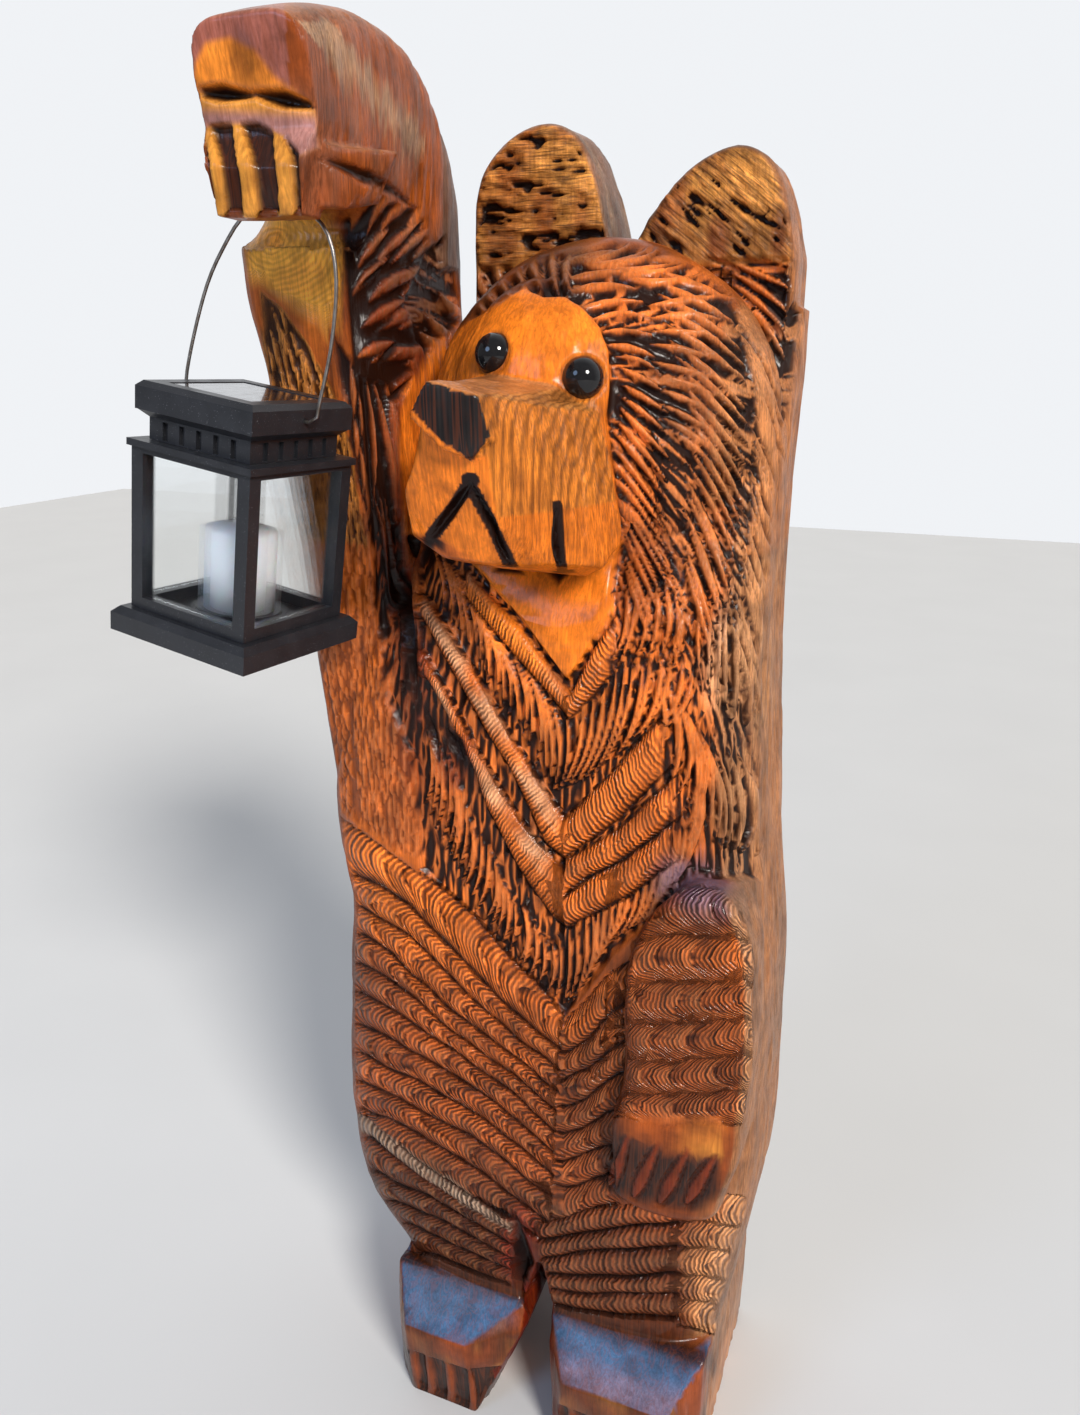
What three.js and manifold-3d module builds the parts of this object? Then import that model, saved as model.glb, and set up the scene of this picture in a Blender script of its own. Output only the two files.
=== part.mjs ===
// A bear carved from one log with a chainsaw, holding up a small lantern on a hook behind its claws.
// Millimetres. +X is the bear's left hand side, -Y is the way it faces, +Z is up.
import * as THREE from "three";
import { ConvexGeometry } from "three/addons/geometries/ConvexGeometry.js";
import { mergeVertices } from "three/addons/utils/BufferGeometryUtils.js";
import Module from "manifold-3d";

const wasm = await Module();
wasm.setup();

// Driving dimensions of the log
const bodyHeight = 1060; // top of the trunk, inside the head
const backPlane = 84; // the sawn back of the log
const ringSides = 20; // flats round a section of the log
const courseHeight = 97; // height of one course of those flats
const drawnHeight = 1060; // the trunk's top where the head, ears and raised arm below are measured
const headLift = bodyHeight - drawnHeight;

// Heights of the forms, from the ground
const ankle = 139; // top of the bevel over the toes
const crotch = 205;
const faceCentre = { x: 18, z: 982 }; // at the height where the head is measured

// The saw's cuts
const strokePitch = 17; // from one lock of the mane to the next
const strokeWidth = 15;
const strokeDepth = 8;
const rollPitch = 27; // from one roll of fur to the next
const rollDepth = 8;
const seamX = 45; // where the rolls of both sides meet

// The eyes
const eyeDiameter = 31;
const fitGap = 0.3; // clearance between separate pieces that touch

// The lantern, in its own frame: base at the bottom, its own up along its leaning axis
const lantern = {
  hangsFrom: [-138.3, -207, 1123.3], // where the hook carries the top of the wire bail
  lean: THREE.MathUtils.degToRad(8.8),
  turn: THREE.MathUtils.degToRad(-5.8),
};
const baseSide = 132;
const baseHeight = 19;
const frameSide = 111;
const frameTop = 145;
const postSide = 11;
const railHeight = 9;
const capSide = 108;
const capTop = 186;
const capLip = 20; // height of the cap's upper block
const neckSide = 94;
const wallThickness = 5;
const edgeBevel = 5; // round the top of the base plate
const pinDrop = 12; // from the cap's top down to the wire bail's ends
const bailRise = 140; // from those ends up to the top of the bail
const paneThickness = 2;
const paneInset = 4; // from the frame's face back to the glass
const candleDiameter = 54;
const candleHeight = 65;
const ringDiameter = 66;
const ringHeight = 4;
const ventCount = 5;
const panelSide = 76;
const panelThickness = 2.2;
const wireDiameter = 2.6;
const hookWire = 4;

const wood = new THREE.MeshStandardMaterial({ color: 0xb5622a, roughness: 0.35 });
const gloss = new THREE.MeshStandardMaterial({ color: 0x050505, roughness: 0.08 });
const steel = new THREE.MeshStandardMaterial({ color: 0x8b8782, roughness: 0.35, metalness: 0.9 });
const blackPlastic = new THREE.MeshStandardMaterial({ color: 0x15171b, roughness: 0.4 });
const solarGlass = new THREE.MeshStandardMaterial({ color: 0x10131c, roughness: 0.15 });
const glass = new THREE.MeshStandardMaterial({
  color: 0xe8eef0,
  roughness: 0.05,
  transparent: true,
  opacity: 0.3,
});
const wax = new THREE.MeshStandardMaterial({ color: 0xe6ecf2, roughness: 0.55 });

const group = new THREE.Group();

// Adds one named piece to the group, or to a turned group inside it.
function piece(name, geometry, material, parent = group) {
  const mesh = new THREE.Mesh(geometry, material);
  mesh.name = name;
  parent.add(mesh);
  return mesh;
}

// A closed mesh as a solid that can be joined and cut.
function solid(geometry) {
  const bare = geometry.index ? geometry.toNonIndexed() : geometry.clone();
  bare.deleteAttribute("normal");
  bare.deleteAttribute("uv");
  const merged = mergeVertices(bare, 1e-3);
  return new wasm.Manifold(
    new wasm.Mesh({
      numProp: 3,
      vertProperties: new Float32Array(merged.attributes.position.array),
      triVerts: new Uint32Array(merged.index.array),
    }),
  );
}

function geometryOf(made) {
  const mesh = made.getMesh();
  return new THREE.BufferGeometry()
    .setAttribute("position", new THREE.BufferAttribute(new Float32Array(mesh.vertProperties), 3))
    .setIndex(new THREE.BufferAttribute(new Uint32Array(mesh.triVerts), 1));
}

function joined(solids) {
  return wasm.Manifold.union(solids);
}

// The convex solid round a handful of corners.
function hull(corners) {
  return solid(new ConvexGeometry(corners.map((corner) => new THREE.Vector3(...corner))));
}

function box(width, depth, height, x, y, z) {
  return new THREE.BoxGeometry(width, depth, height).translate(x, y, z);
}

// A closed skin over rings of points that run anticlockwise as seen from the last ring.
function loft(rings) {
  const count = rings[0].length;
  const points = rings.flat();
  const faces = [];
  for (let r = 0; r + 1 < rings.length; r++) {
    for (let i = 0; i < count; i++) {
      const a = r * count + i;
      const b = r * count + ((i + 1) % count);
      faces.push(a, b, a + count, b, b + count, a + count);
    }
  }
  const centre = (ring) => {
    const sum = new THREE.Vector3();
    for (const p of ring) sum.add(p);
    return sum.divideScalar(count);
  };
  const low = points.push(centre(rings[0])) - 1;
  const high = points.push(centre(rings.at(-1))) - 1;
  const last = (rings.length - 1) * count;
  for (let i = 0; i < count; i++) {
    const next = (i + 1) % count;
    faces.push(low, next, i, high, last + i, last + next);
  }
  return new THREE.BufferGeometry().setFromPoints(points).setIndex(faces);
}

// The values between two stations of [position, value, value, ...].
function between(stations, position) {
  const found = stations.findIndex((station) => station[0] >= position);
  const upper = found < 1 ? (found === 0 ? 1 : stations.length - 1) : found;
  const [a, b] = [stations[upper - 1], stations[upper]];
  const share = THREE.MathUtils.clamp((position - a[0]) / (b[0] - a[0]), 0, 1);
  return a.slice(1).map((value, k) => THREE.MathUtils.lerp(value, b[k + 1], share));
}

// A ring with rounded corners between a left, right, front and back limit.
function squarish(left, right, front, back, power, sides) {
  const middle = new THREE.Vector2((left + right) / 2, (front + back) / 2);
  const half = new THREE.Vector2((right - left) / 2, (back - front) / 2);
  const bent = (v) => Math.sign(v) * Math.abs(v) ** (2 / power);
  return Array.from({ length: sides }, (_, i) => {
    const a = (2 * Math.PI * (i + 0.5)) / sides;
    return new THREE.Vector2(bent(Math.cos(a)), bent(Math.sin(a))).multiply(half).add(middle);
  });
}

// The log below the head: height, left, right and front of each section
const trunkStations = [
  [90, -143, 180, -118],
  [ankle, -150, 186, -124],
  [205, -192, 197, -130],
  [290, -206, 208, -134],
  [350, -203, 211, -138],
  [470, -194, 209, -140],
  [540, -189, 205, -140],
  [640, -199, 194, -140],
  [780, -170, 184, -136],
  [850, -122, 181, -120],
  [930, -116, 180, -80],
  [1000, -112, 180, -26],
  [bodyHeight, -108, 179, 16],
];

function trunk() {
  const bottom = trunkStations[0][0];
  const courses = Math.round((bodyHeight - bottom) / courseHeight);
  const rings = Array.from({ length: courses + 1 }, (_, i) => {
    const z = bottom + ((bodyHeight - bottom) * i) / courses;
    const [left, right, front] = between(trunkStations, z);
    return squarish(left, right, front, backPlane, 4.5, ringSides).map((p) => new THREE.Vector3(p.x, p.y, z));
  });
  return solid(loft(rings));
}

// A foot: an upright block whose toes stand out under a bevel, with both front corners cut off.
function foot(outer, inner, toeOuter, toeInner, innerLow) {
  const ledge = 100; // height of the bevel's lower edge
  const toe = -165;
  return hull([
    [outer, -128, 0], [toeOuter, -153, 0], [(toeInner + innerLow) / 2, -153, 0], [innerLow, -124, 0],
    [outer, -131, ledge - 8], [toeOuter, toe, ledge], [toeInner, toe + 2, ledge - 4], [inner, -136, ledge + 12],
    [outer, -125, ankle], [inner, -125, ankle],
    [outer, 76, 0], [innerLow, 76, 0], [outer, 80, ankle], [inner, 80, ankle],
  ]);
}

// The raised arm: x, y, z of its middle, and half its width and depth
const armStations = [
  [-140, -30, 590, 50, 84],
  [-150, -30, 700, 51, 88],
  [-158, -30, 800, 51, 92],
  [-165, -30, 900, 52, 96],
  [-175, -30, 1000, 57, 100],
  [-184, -30, 1080, 64, 101],
  [-182, -38, 1138, 63, 99],
  [-165, -74, 1178, 55, 77],
  [-146, -134, 1196, 47, 55],
  [-130, -200, 1189, 44, 48],
  [-124, -246, 1180, 42, 42],
];

function raisedArm() {
  const across = new THREE.Vector3(1, 0, 0);
  const [shoulder, elbow] = [armStations[0][2], armStations[4][2]];
  const lifted = (z) => z + headLift * THREE.MathUtils.clamp((z - shoulder) / (elbow - shoulder), 0, 1);
  const middles = armStations.map(([x, y, z]) => new THREE.Vector3(x, y, lifted(z)));
  const rings = armStations.map(([, , , halfWidth, halfDepth], i) => {
    const before = middles[Math.max(0, i - 1)];
    const after = middles[Math.min(middles.length - 1, i + 1)];
    const over = new THREE.Vector3().subVectors(after, before).cross(across).normalize();
    return squarish(-halfWidth, halfWidth, -halfDepth, halfDepth, 4, 20).map((p) =>
      middles[i].clone().addScaledVector(across, p.x).addScaledVector(over, p.y),
    );
  });
  return solid(loft(rings));
}

// The paw's claws hang from under the knuckles, with the thumb behind them.
function raisedPaw() {
  const claws = hull([
    [-168, -242, 1160], [-84, -244, 1156], [-164, -250, 1140], [-88, -252, 1136],
    [-160, -246, 1110], [-94, -246, 1108], [-160, -222, 1110], [-94, -222, 1108],
    [-168, -218, 1160], [-84, -218, 1160],
  ]);
  const thumb = hull([
    [-104, -232, 1150], [-80, -230, 1150], [-100, -230, 1116], [-82, -228, 1114],
    [-100, -215, 1116], [-82, -215, 1114], [-104, -150, 1126], [-92, -150, 1126],
    [-104, -140, 1160], [-80, -140, 1160],
  ]);
  return joined([claws, thumb]).translate([0, 0, headLift]);
}

// The dome of the mane, the smooth face in front of it and the boxy muzzle
function head() {
  const mane = new THREE.SphereGeometry(1, 20, 12).scale(150, 116, 158).translate(30, -12, 954);
  const face = new THREE.SphereGeometry(1, 18, 10).scale(88, 84, 102);
  face.translate(faceCentre.x - 6, -60, faceCentre.z);
  const muzzle = hull([
    [-22, -138, 1012], [38, -142, 1003], [-6, -246, 1006], [28, -242, 999],
    [-22, -240, 962], [30, -240, 960], [-37, -232, 935], [-38, -222, 906],
    [-12, -224, 892], [27, -226, 891], [34, -236, 925], [58, -190, 886],
    [80, -152, 880], [90, -116, 905], [66, -124, 985], [-72, -132, 905],
    [-62, -124, 985], [0, -150, 872], [62, -140, 870], [-50, -150, 884],
  ]);
  const nose = hull([
    [-5, -257, 1010], [29, -250, 1001], [-17, -259, 988], [34, -247, 974],
    [21, -249, 962], [4, -254, 968], [-5, -200, 1008], [29, -200, 1001],
    [-20, -205, 986], [34, -205, 972], [4, -210, 966],
  ]);
  return joined([solid(mane), solid(face), muzzle, nose]).translate([0, 0, headLift]);
}

// An ear: a thick upright slab, cut to its outline and rising off the back of the log
const earThickness = 72;
const earRoot = 70; // how far an ear's sides run down into the log
function ear(outline) {
  const [first, last] = [outline[0], outline.at(-1)];
  const root = Math.min(first[1], last[1], drawnHeight) - earRoot;
  const shape = new THREE.Shape();
  shape.moveTo(first[0], root);
  shape.lineTo(...first);
  shape.splineThru(outline.slice(1).map((p) => new THREE.Vector2(...p)));
  shape.lineTo(last[0], root);
  const cut = { depth: earThickness, bevelEnabled: false, curveSegments: 3 };
  const slab = new THREE.ExtrudeGeometry(shape, cut);
  return solid(slab.rotateX(Math.PI / 2).translate(0, backPlane, headLift));
}

// The arm that hangs on the bear's left side, with its palm flat on the thigh
function hangingArm() {
  const shape = new THREE.Shape();
  shape.moveTo(100, 324);
  shape.lineTo(94, 400);
  shape.quadraticCurveTo(108, 420, 103, 520);
  shape.quadraticCurveTo(112, 600, 158, 636);
  shape.quadraticCurveTo(200, 640, 206, 560);
  shape.quadraticCurveTo(214, 450, 206, 400);
  shape.lineTo(188, 330);
  shape.quadraticCurveTo(146, 306, 100, 324);
  const bevel = { bevelThickness: 9, bevelSize: 8, bevelSegments: 2 };
  const slab = new THREE.ExtrudeGeometry(shape, { depth: 50, curveSegments: 5, ...bevel });
  return solid(slab.rotateX(Math.PI / 2).translate(0, -98, 0));
}

const forms = joined([
  trunk(),
  foot(-137, 6, -112, -48, -36),
  foot(184, 32, 158, 56, 34),
  raisedArm(),
  raisedPaw(),
  head(),
  ear([[-98, 1110], [-93, 1158], [-68, 1190], [-34, 1201], [-6, 1190], [12, 1156], [24, 1112]]),
  ear([[36, 1096], [50, 1120], [72, 1150], [98, 1169], [126, 1176], [150, 1163], [164, 1134], [173, 1096]]),
  hangingArm(),
]);

// Finds where a line along +Y, or along a given direction, first meets the uncut forms.
const skin = new THREE.Mesh(geometryOf(forms), wood);
skin.geometry.computeVertexNormals();
const caster = new THREE.Raycaster();
function surface(x, z, direction = new THREE.Vector3(0, 1, 0), y = 0) {
  const away = 900;
  caster.set(new THREE.Vector3(x, y, z).addScaledVector(direction, -away), direction);
  const [hit] = caster.intersectObject(skin);
  return hit && { point: hit.point, normal: hit.face.normal.clone() };
}

// A cut of the saw along samples of the surface: pointed at both ends and deepest between them
const clear = 5; // how far a cutter stands above the surface
function stroke(samples, width, depth) {
  const [start, end] = [samples[0].point, samples.at(-1).point];
  const along = new THREE.Vector3().subVectors(end, start).normalize();
  const spread = (width / 2) * ((depth + clear) / depth);
  const tip = ({ point, normal }) => point.clone().addScaledVector(normal, 1.1);
  const corners = [tip(samples[0]), tip(samples.at(-1))];
  for (const { point, normal } of samples.slice(1, -1)) {
    const side = new THREE.Vector3().crossVectors(along, normal).normalize();
    corners.push(point.clone().addScaledVector(normal, -depth));
    for (const hand of [-1, 1]) {
      corners.push(point.clone().addScaledVector(side, hand * spread).addScaledVector(normal, clear));
    }
  }
  return solid(new ConvexGeometry(corners));
}

const cuts = [];
const degrees = THREE.MathUtils.degToRad;
const lockBelly = [0.42]; // where along a lock's cut it is widest
const rollBellies = [0.12, 0.5, 0.85];

// Cuts between two points of the front, in steps short enough to follow its curve.
function cutLine([x0, z0], [x1, z1], width, depth, bellies = lockBelly, longest = 150, lift = 0) {
  const steps = Math.ceil(Math.hypot(x1 - x0, z1 - z0) / longest);
  for (let i = 0; i < steps; i++) {
    const lap = i ? 0.12 : 0;
    const shares = [-lap, ...bellies, 1].map((share) => (i + share) / steps);
    const samples = shares.map((share) => surface(x0 + (x1 - x0) * share, z0 + (z1 - z0) * share + lift));
    if (samples.every(Boolean)) cuts.push(stroke(samples, width, depth));
  }
}

// The same on the head and the raised paw, which go up and down with the trunk's top
function headCut(start, end, width, depth, bellies = lockBelly) {
  cutLine(start, end, width, depth, bellies, 150, headLift);
}

// Rows of the mane run round the face, each lock turning away from it as it leaves.
function maneRow(radius, fromAngle, toAngle, length) {
  const step = strokePitch / radius;
  for (let a = degrees(fromAngle); a > degrees(toAngle); a -= step) {
    const x = faceCentre.x + radius * Math.cos(a);
    const z = faceCentre.z - 8 + radius * 1.04 * Math.sin(a);
    const heading = degrees(-38) + 0.62 * a;
    const end = [x + length * Math.cos(heading), z + length * Math.sin(heading)];
    headCut([x, z], end, strokeWidth, strokeDepth);
  }
}

// Short locks over the forehead point at the middle of the face.
function forelock() {
  for (let a = 92; a < 172; a += 11) {
    const ray = [Math.cos(degrees(a)), Math.sin(degrees(a))];
    const at = (radius) => [faceCentre.x + radius * ray[0], faceCentre.z + radius * 1.12 * ray[1]];
    headCut(at(106), at(74), strokeWidth - 1, strokeDepth);
  }
}

// The rolls of fur hang in vees: tip is the height of a vee's lowest point, on the seam.
function vee(tip, x) {
  const leftSlope = -0.35 + 0.0035 * tip;
  const rightSlope = 1.5;
  return x < seamX ? tip + leftSlope * (seamX - x) : tip + rightSlope * (x - seamX);
}

function veeCut(tip, leftX, rightX) {
  const roll = [rollPitch * 0.6, rollDepth, rollBellies, 170];
  cutLine([seamX - 2, vee(tip, seamX)], [leftX, vee(tip, leftX)], ...roll);
  cutLine([seamX + 2, vee(tip, seamX)], [rightX, vee(tip, rightX)], ...roll);
}

// A curtain of locks hanging from one vee to the one below it
function curtain(topTip, lowTip, leftX, rightX) {
  for (let x = leftX; x <= rightX; x += strokePitch * 0.82) {
    const drift = (seamX - x) * 0.12;
    cutLine([x, vee(topTip, x)], [x + drift, vee(lowTip, x + drift)], strokeWidth * 0.8, strokeDepth);
  }
}

cutLine([-114, 935], [-84, 640], 36, 26, rollBellies);
maneRow(76, 84, -52, 52);
maneRow(114, 76, -58, 52);
maneRow(150, 44, -62, 46);
forelock();
curtain(748, 690, -32, 100);
for (const tip of [662, 634, 604, 574]) veeCut(tip, tip > 640 ? -70 : -84, 128);
curtain(566, 486, -82, 116);
for (let tip = 452; tip > 250; tip -= rollPitch) {
  veeCut(tip, THREE.MathUtils.clamp(-560 + tip, -182, -100), 92);
}

// Thighs: near level bands on the bear's right, a fan from the crotch on its left
const band = [rollPitch * 0.6, rollDepth, rollBellies, 200];
for (let z = 180; z < 270; z += rollPitch) cutLine([-176, z + 6], [-8, z - 4], ...band);
cutLine([-186, 372], [-2, 232], rollPitch * 0.8, rollDepth, rollBellies);
for (let i = 0; i < 4; i++) cutLine([30, 222 - 14 * i], [178, 316 - 38 * i], ...band);

// Long locks fall down the bear's left side and in the middle of the hanging arm's shoulder.
const longLock = 84;
for (const [top, shift] of [[846, 0], [752, 8], [668, 0]]) {
  for (let x = 126 + shift; x < 176; x += strokePitch) {
    cutLine([x, top], [x + 6, top - longLock], strokeWidth, strokeDepth);
  }
}

// The mouth and the corner of the jaw
headCut([-6, 908], [20, 948], 9, 8);
headCut([18, 948], [36, 897], 9, 8);
headCut([64, 928], [67, 888], 8, 7);

// Claws of the hanging paw stand between dark hollows.
for (let i = 0; i < 5; i++) {
  const x = 96 + 24 * i;
  cutLine([x + 8, 386 + 3 * i], [x - 6, 324], 15, 10);
}

// The raised paw: a deep line under the knuckles and hollows between the claws
headCut([-176, 1178], [-74, 1172], 16, 11);
for (let i = 0; i < 4; i++) headCut([-164 + 24 * i, 1158], [-157 + 21 * i, 1112], 13, 12);

// Toes: a ledge over short claws
for (const [left, right] of [[-112, -44], [58, 158]]) {
  for (let x = left + 10; x < right; x += 24) cutLine([x, 60], [x + 2, 2], 13, 9);
}

// The gap between the feet narrows up to the crotch.
const legGap = hull([
  [-38, -220, -10], [34, -220, -10], [-38, 120, -10], [34, 120, -10],
  [8, -220, ankle + 6], [32, -220, ankle + 6], [8, 120, ankle + 6], [32, 120, ankle + 6],
  [20, -220, crotch], [20, 120, crotch],
]);

// Eyes: black domes let into the face
const eyePlaces = { right_eye: [-16, 1025], left_eye: [52, 1009] };
const eyeSink = 5; // how far a dome's centre lies behind the face
const sockets = [];
for (const [name, place] of Object.entries(eyePlaces)) {
  const [x, z] = place;
  const at = surface(x, z + headLift).point.add(new THREE.Vector3(0, eyeSink, 0));
  const ball = (radius) => {
    const sphere = new THREE.SphereGeometry(radius, 16, 10);
    return sphere.rotateX(Math.PI / 2).translate(...at.toArray());
  };
  piece(name, ball(eyeDiameter / 2), gloss);
  sockets.push(solid(ball(eyeDiameter / 2 + fitGap)));
}

// The lantern's wire bail, which leans off the lantern's axis where the hook holds it
const pinHeight = capTop - pinDrop;
const pinReach = capSide / 2; // from the middle out to the cap's side
const bailTop = [20, 0, pinHeight + bailRise]; // where the hook carries it
const bailBend = [
  [-43, 0.536], [-28, 0.743], [-8, 0.921], [bailTop[0], 1], [46, 0.971],
  [62, 0.9], [72, 0.736], [73, 0.414], [66, 0.114],
]; // sideways, and the share of the rise
const bailPoints = [
  [6 - pinReach, pinHeight], [-4 - pinReach, pinHeight], [-6 - pinReach, pinHeight + 8],
  ...bailBend.map(([x, share]) => [x, pinHeight + bailRise * share]),
  [pinReach + 9, pinHeight + 2], [pinReach + 3, pinHeight], [pinReach - 6, pinHeight],
];

const lanternGroup = new THREE.Group();
lanternGroup.rotation.set(0, lantern.lean, 0);
const turned = new THREE.Group();
turned.rotation.z = lantern.turn;
lanternGroup.add(turned);
group.add(lanternGroup);
group.updateMatrixWorld(true);
const [hangX, hangY, hangZ] = lantern.hangsFrom;
const carried = new THREE.Vector3(hangX, hangY, hangZ + headLift);
const fromBase = turned.localToWorld(new THREE.Vector3(...bailTop));
lanternGroup.position.subVectors(carried, fromBase);
group.updateMatrixWorld(true);

function wire(points, diameter, steps, sides) {
  const corner = (_, i) => {
    const angle = (2 * Math.PI * i) / sides;
    return new THREE.Vector2(Math.cos(angle), Math.sin(angle)).multiplyScalar(diameter / 2);
  };
  const ring = new THREE.Shape(Array.from({ length: sides }, corner));
  const path = new THREE.CatmullRomCurve3(points, false, "centripetal");
  return new THREE.ExtrudeGeometry(ring, { steps, extrudePath: path, bevelEnabled: false });
}

// A square block whose side changes from the bottom to the top
function tapered(lowSide, highSide, low, high) {
  const block = new THREE.CylinderGeometry(highSide / Math.SQRT2, lowSide / Math.SQRT2, high - low, 4);
  return solid(block.rotateY(Math.PI / 4).rotateX(Math.PI / 2).translate(0, 0, (low + high) / 2));
}

function square(side, low, high, x = 0, y = 0) {
  return solid(box(side, side, high - low, x, y, (low + high) / 2));
}

function round(diameter, low, high, sides = 20) {
  const drum = new THREE.CylinderGeometry(diameter / 2, diameter / 2, high - low, sides);
  return solid(drum.rotateX(Math.PI / 2).translate(0, 0, (low + high) / 2));
}

function lanternBase() {
  const plate = tapered(baseSide, baseSide, 0, baseHeight - edgeBevel);
  const bevel = tapered(baseSide, baseSide - 2 * edgeBevel, baseHeight - edgeBevel, baseHeight);
  const collar = round(ringDiameter, baseHeight - 1, baseHeight + ringHeight);
  const seat = round(candleDiameter + 2 * fitGap, baseHeight, baseHeight + ringHeight + 1);
  return joined([plate, bevel, collar]).subtract(seat);
}

function lanternFrame() {
  const low = baseHeight + fitGap;
  const inner = frameSide - 2 * postSide;
  const shell = square(frameSide, low, frameTop);
  const flange = square(frameSide + 5, frameTop - 5, frameTop);
  const room = square(inner, low - 1, frameTop + 1);
  const window = (width, depth) =>
    solid(box(width, depth, frameTop - low - 2 * railHeight, 0, 0, (frameTop + low) / 2));
  const reach = frameSide * 2;
  return joined([shell, flange]).subtract(joined([room, window(inner, reach), window(reach, inner)]));
}

function lanternCap() {
  const low = frameTop + fitGap;
  const lipLow = capTop - capLip;
  const flareLow = lipLow - 5;
  const chamfer = 4;
  const body = joined([
    square(neckSide, low, flareLow),
    tapered(neckSide, capSide - 2, flareLow, lipLow),
    square(capSide, lipLow, capTop - chamfer),
    tapered(capSide, capSide - 2 * chamfer, capTop - chamfer, capTop),
  ]);
  const hollows = [
    square(panelSide + 2 * fitGap, capTop - panelThickness - 0.8, capTop + 1),
    square(neckSide - 2 * wallThickness, low - 1, lipLow + 4),
  ];
  const ventPitch = neckSide / (ventCount + 0.9);
  for (let side = 0; side < 4; side++) {
    for (let i = 0; i < ventCount; i++) {
      const along = (i - (ventCount - 1) / 2) * ventPitch;
      const slot = box(5, 6, 13, along, -neckSide / 2, low + 7.5).rotateZ((side * Math.PI) / 2);
      hollows.push(solid(slot));
    }
  }
  const pinRadius = wireDiameter / 2 + fitGap;
  const pinBore = new THREE.CylinderGeometry(pinRadius, pinRadius, 2 * capSide, 10);
  const throughLip = solid(pinBore.rotateZ(Math.PI / 2).translate(0, 0, pinHeight));
  const keep = solid(box(capSide - 14, capSide, 12, 0, 0, pinHeight));
  hollows.push(throughLip.subtract(keep));
  return body.subtract(joined(hollows));
}

piece("lantern_base", geometryOf(lanternBase()), blackPlastic, turned);
piece("lantern_frame", geometryOf(lanternFrame()), blackPlastic, turned);
piece("lantern_cap", geometryOf(lanternCap()), blackPlastic, turned);
const panelTop = capTop - 0.5;
const panelMiddle = panelTop - panelThickness / 2;
piece("solar_panel", box(panelSide, panelSide, panelThickness, 0, 0, panelMiddle), solarGlass, turned);
const candleLow = baseHeight + fitGap;
const candle = round(candleDiameter, candleLow, candleLow + candleHeight);
piece("candle", geometryOf(candle), wax, turned);
const paneWidth = frameSide - 2 * postSide - 2 * fitGap;
const paneHeight = frameTop - baseHeight - fitGap - 2 * railHeight - 2 * fitGap;
for (const [i, side] of ["front", "right", "back", "left"].entries()) {
  const out = paneInset - (frameSide - paneThickness) / 2;
  const pane = box(paneWidth, paneThickness, paneHeight, 0, out, 0);
  pane.rotateZ((i * Math.PI) / 2).translate(0, 0, (frameTop + baseHeight + fitGap) / 2);
  piece(`pane_${side}`, pane, glass, turned);
}
const bailPath = bailPoints.map(([x, z]) => new THREE.Vector3(x, 0, z));
piece("bail", wire(bailPath, wireDiameter, 40, 6), steel, turned);

// The hook screwed up into the paw, behind the claws
const hookBend = wireDiameter / 2 + fitGap + hookWire / 2;
const hookRise = 32.7; // from the wire it carries up into the paw
const hookPoints = [[hookBend, hookRise], [hookBend, 14], [hookBend, 0]];
for (let a = 30; a <= 180; a += 30) {
  hookPoints.push([hookBend * Math.cos(degrees(a)), -hookBend * Math.sin(degrees(a))]);
}
hookPoints.push([-hookBend - 0.6, 5]);
const hookPath = hookPoints.map(([y, z]) => new THREE.Vector3(0, y, z).add(carried));
piece("hook", wire(hookPath, hookWire, 16, 8), steel);
const boreRadius = hookWire / 2 + fitGap;
const boreLength = 60;
const hookBore = new THREE.CylinderGeometry(boreRadius, boreRadius, boreLength, 12).rotateX(Math.PI / 2);
const boreTop = carried.z + hookRise + fitGap;
hookBore.translate(carried.x, carried.y + hookBend, boreTop - boreLength / 2);

// Nothing of the head's dome stands out behind the sawn back.
const behind = solid(box(2 * bodyHeight, 100, 3 * bodyHeight, 0, backPlane + 50, 0));
const shells = forms.subtract(joined([...cuts, ...sockets, legGap, solid(hookBore), behind])).decompose();
const bear = shells.reduce((largest, shell) => (shell.volume() > largest.volume() ? shell : largest));
piece("bear", geometryOf(bear), wood);

// The origin is the middle of the whole part's underside.
const whole = new THREE.Box3().setFromObject(group, true);
const middle = whole.getCenter(new THREE.Vector3());
group.position.set(-middle.x, -middle.y, -whole.min.z);

export default group;
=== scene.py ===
"""Looks for the carved bear with its hanging lantern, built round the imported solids.

The carving is worked out in its own millimetre frame: +X the bear's left, -Y the way it faces, +Z up.
Cuts and colours are laid out on a plate that stands upright in front of the bear, as seen from one
station, so a place on the plate is carried on to the wood along the line from that station.
"""

import logging
import math
from dataclasses import dataclass, field
from enum import Enum

import bmesh
import bpy
import numpy as np
from mathutils import Matrix, Vector
from mathutils.kdtree import KDTree

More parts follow.
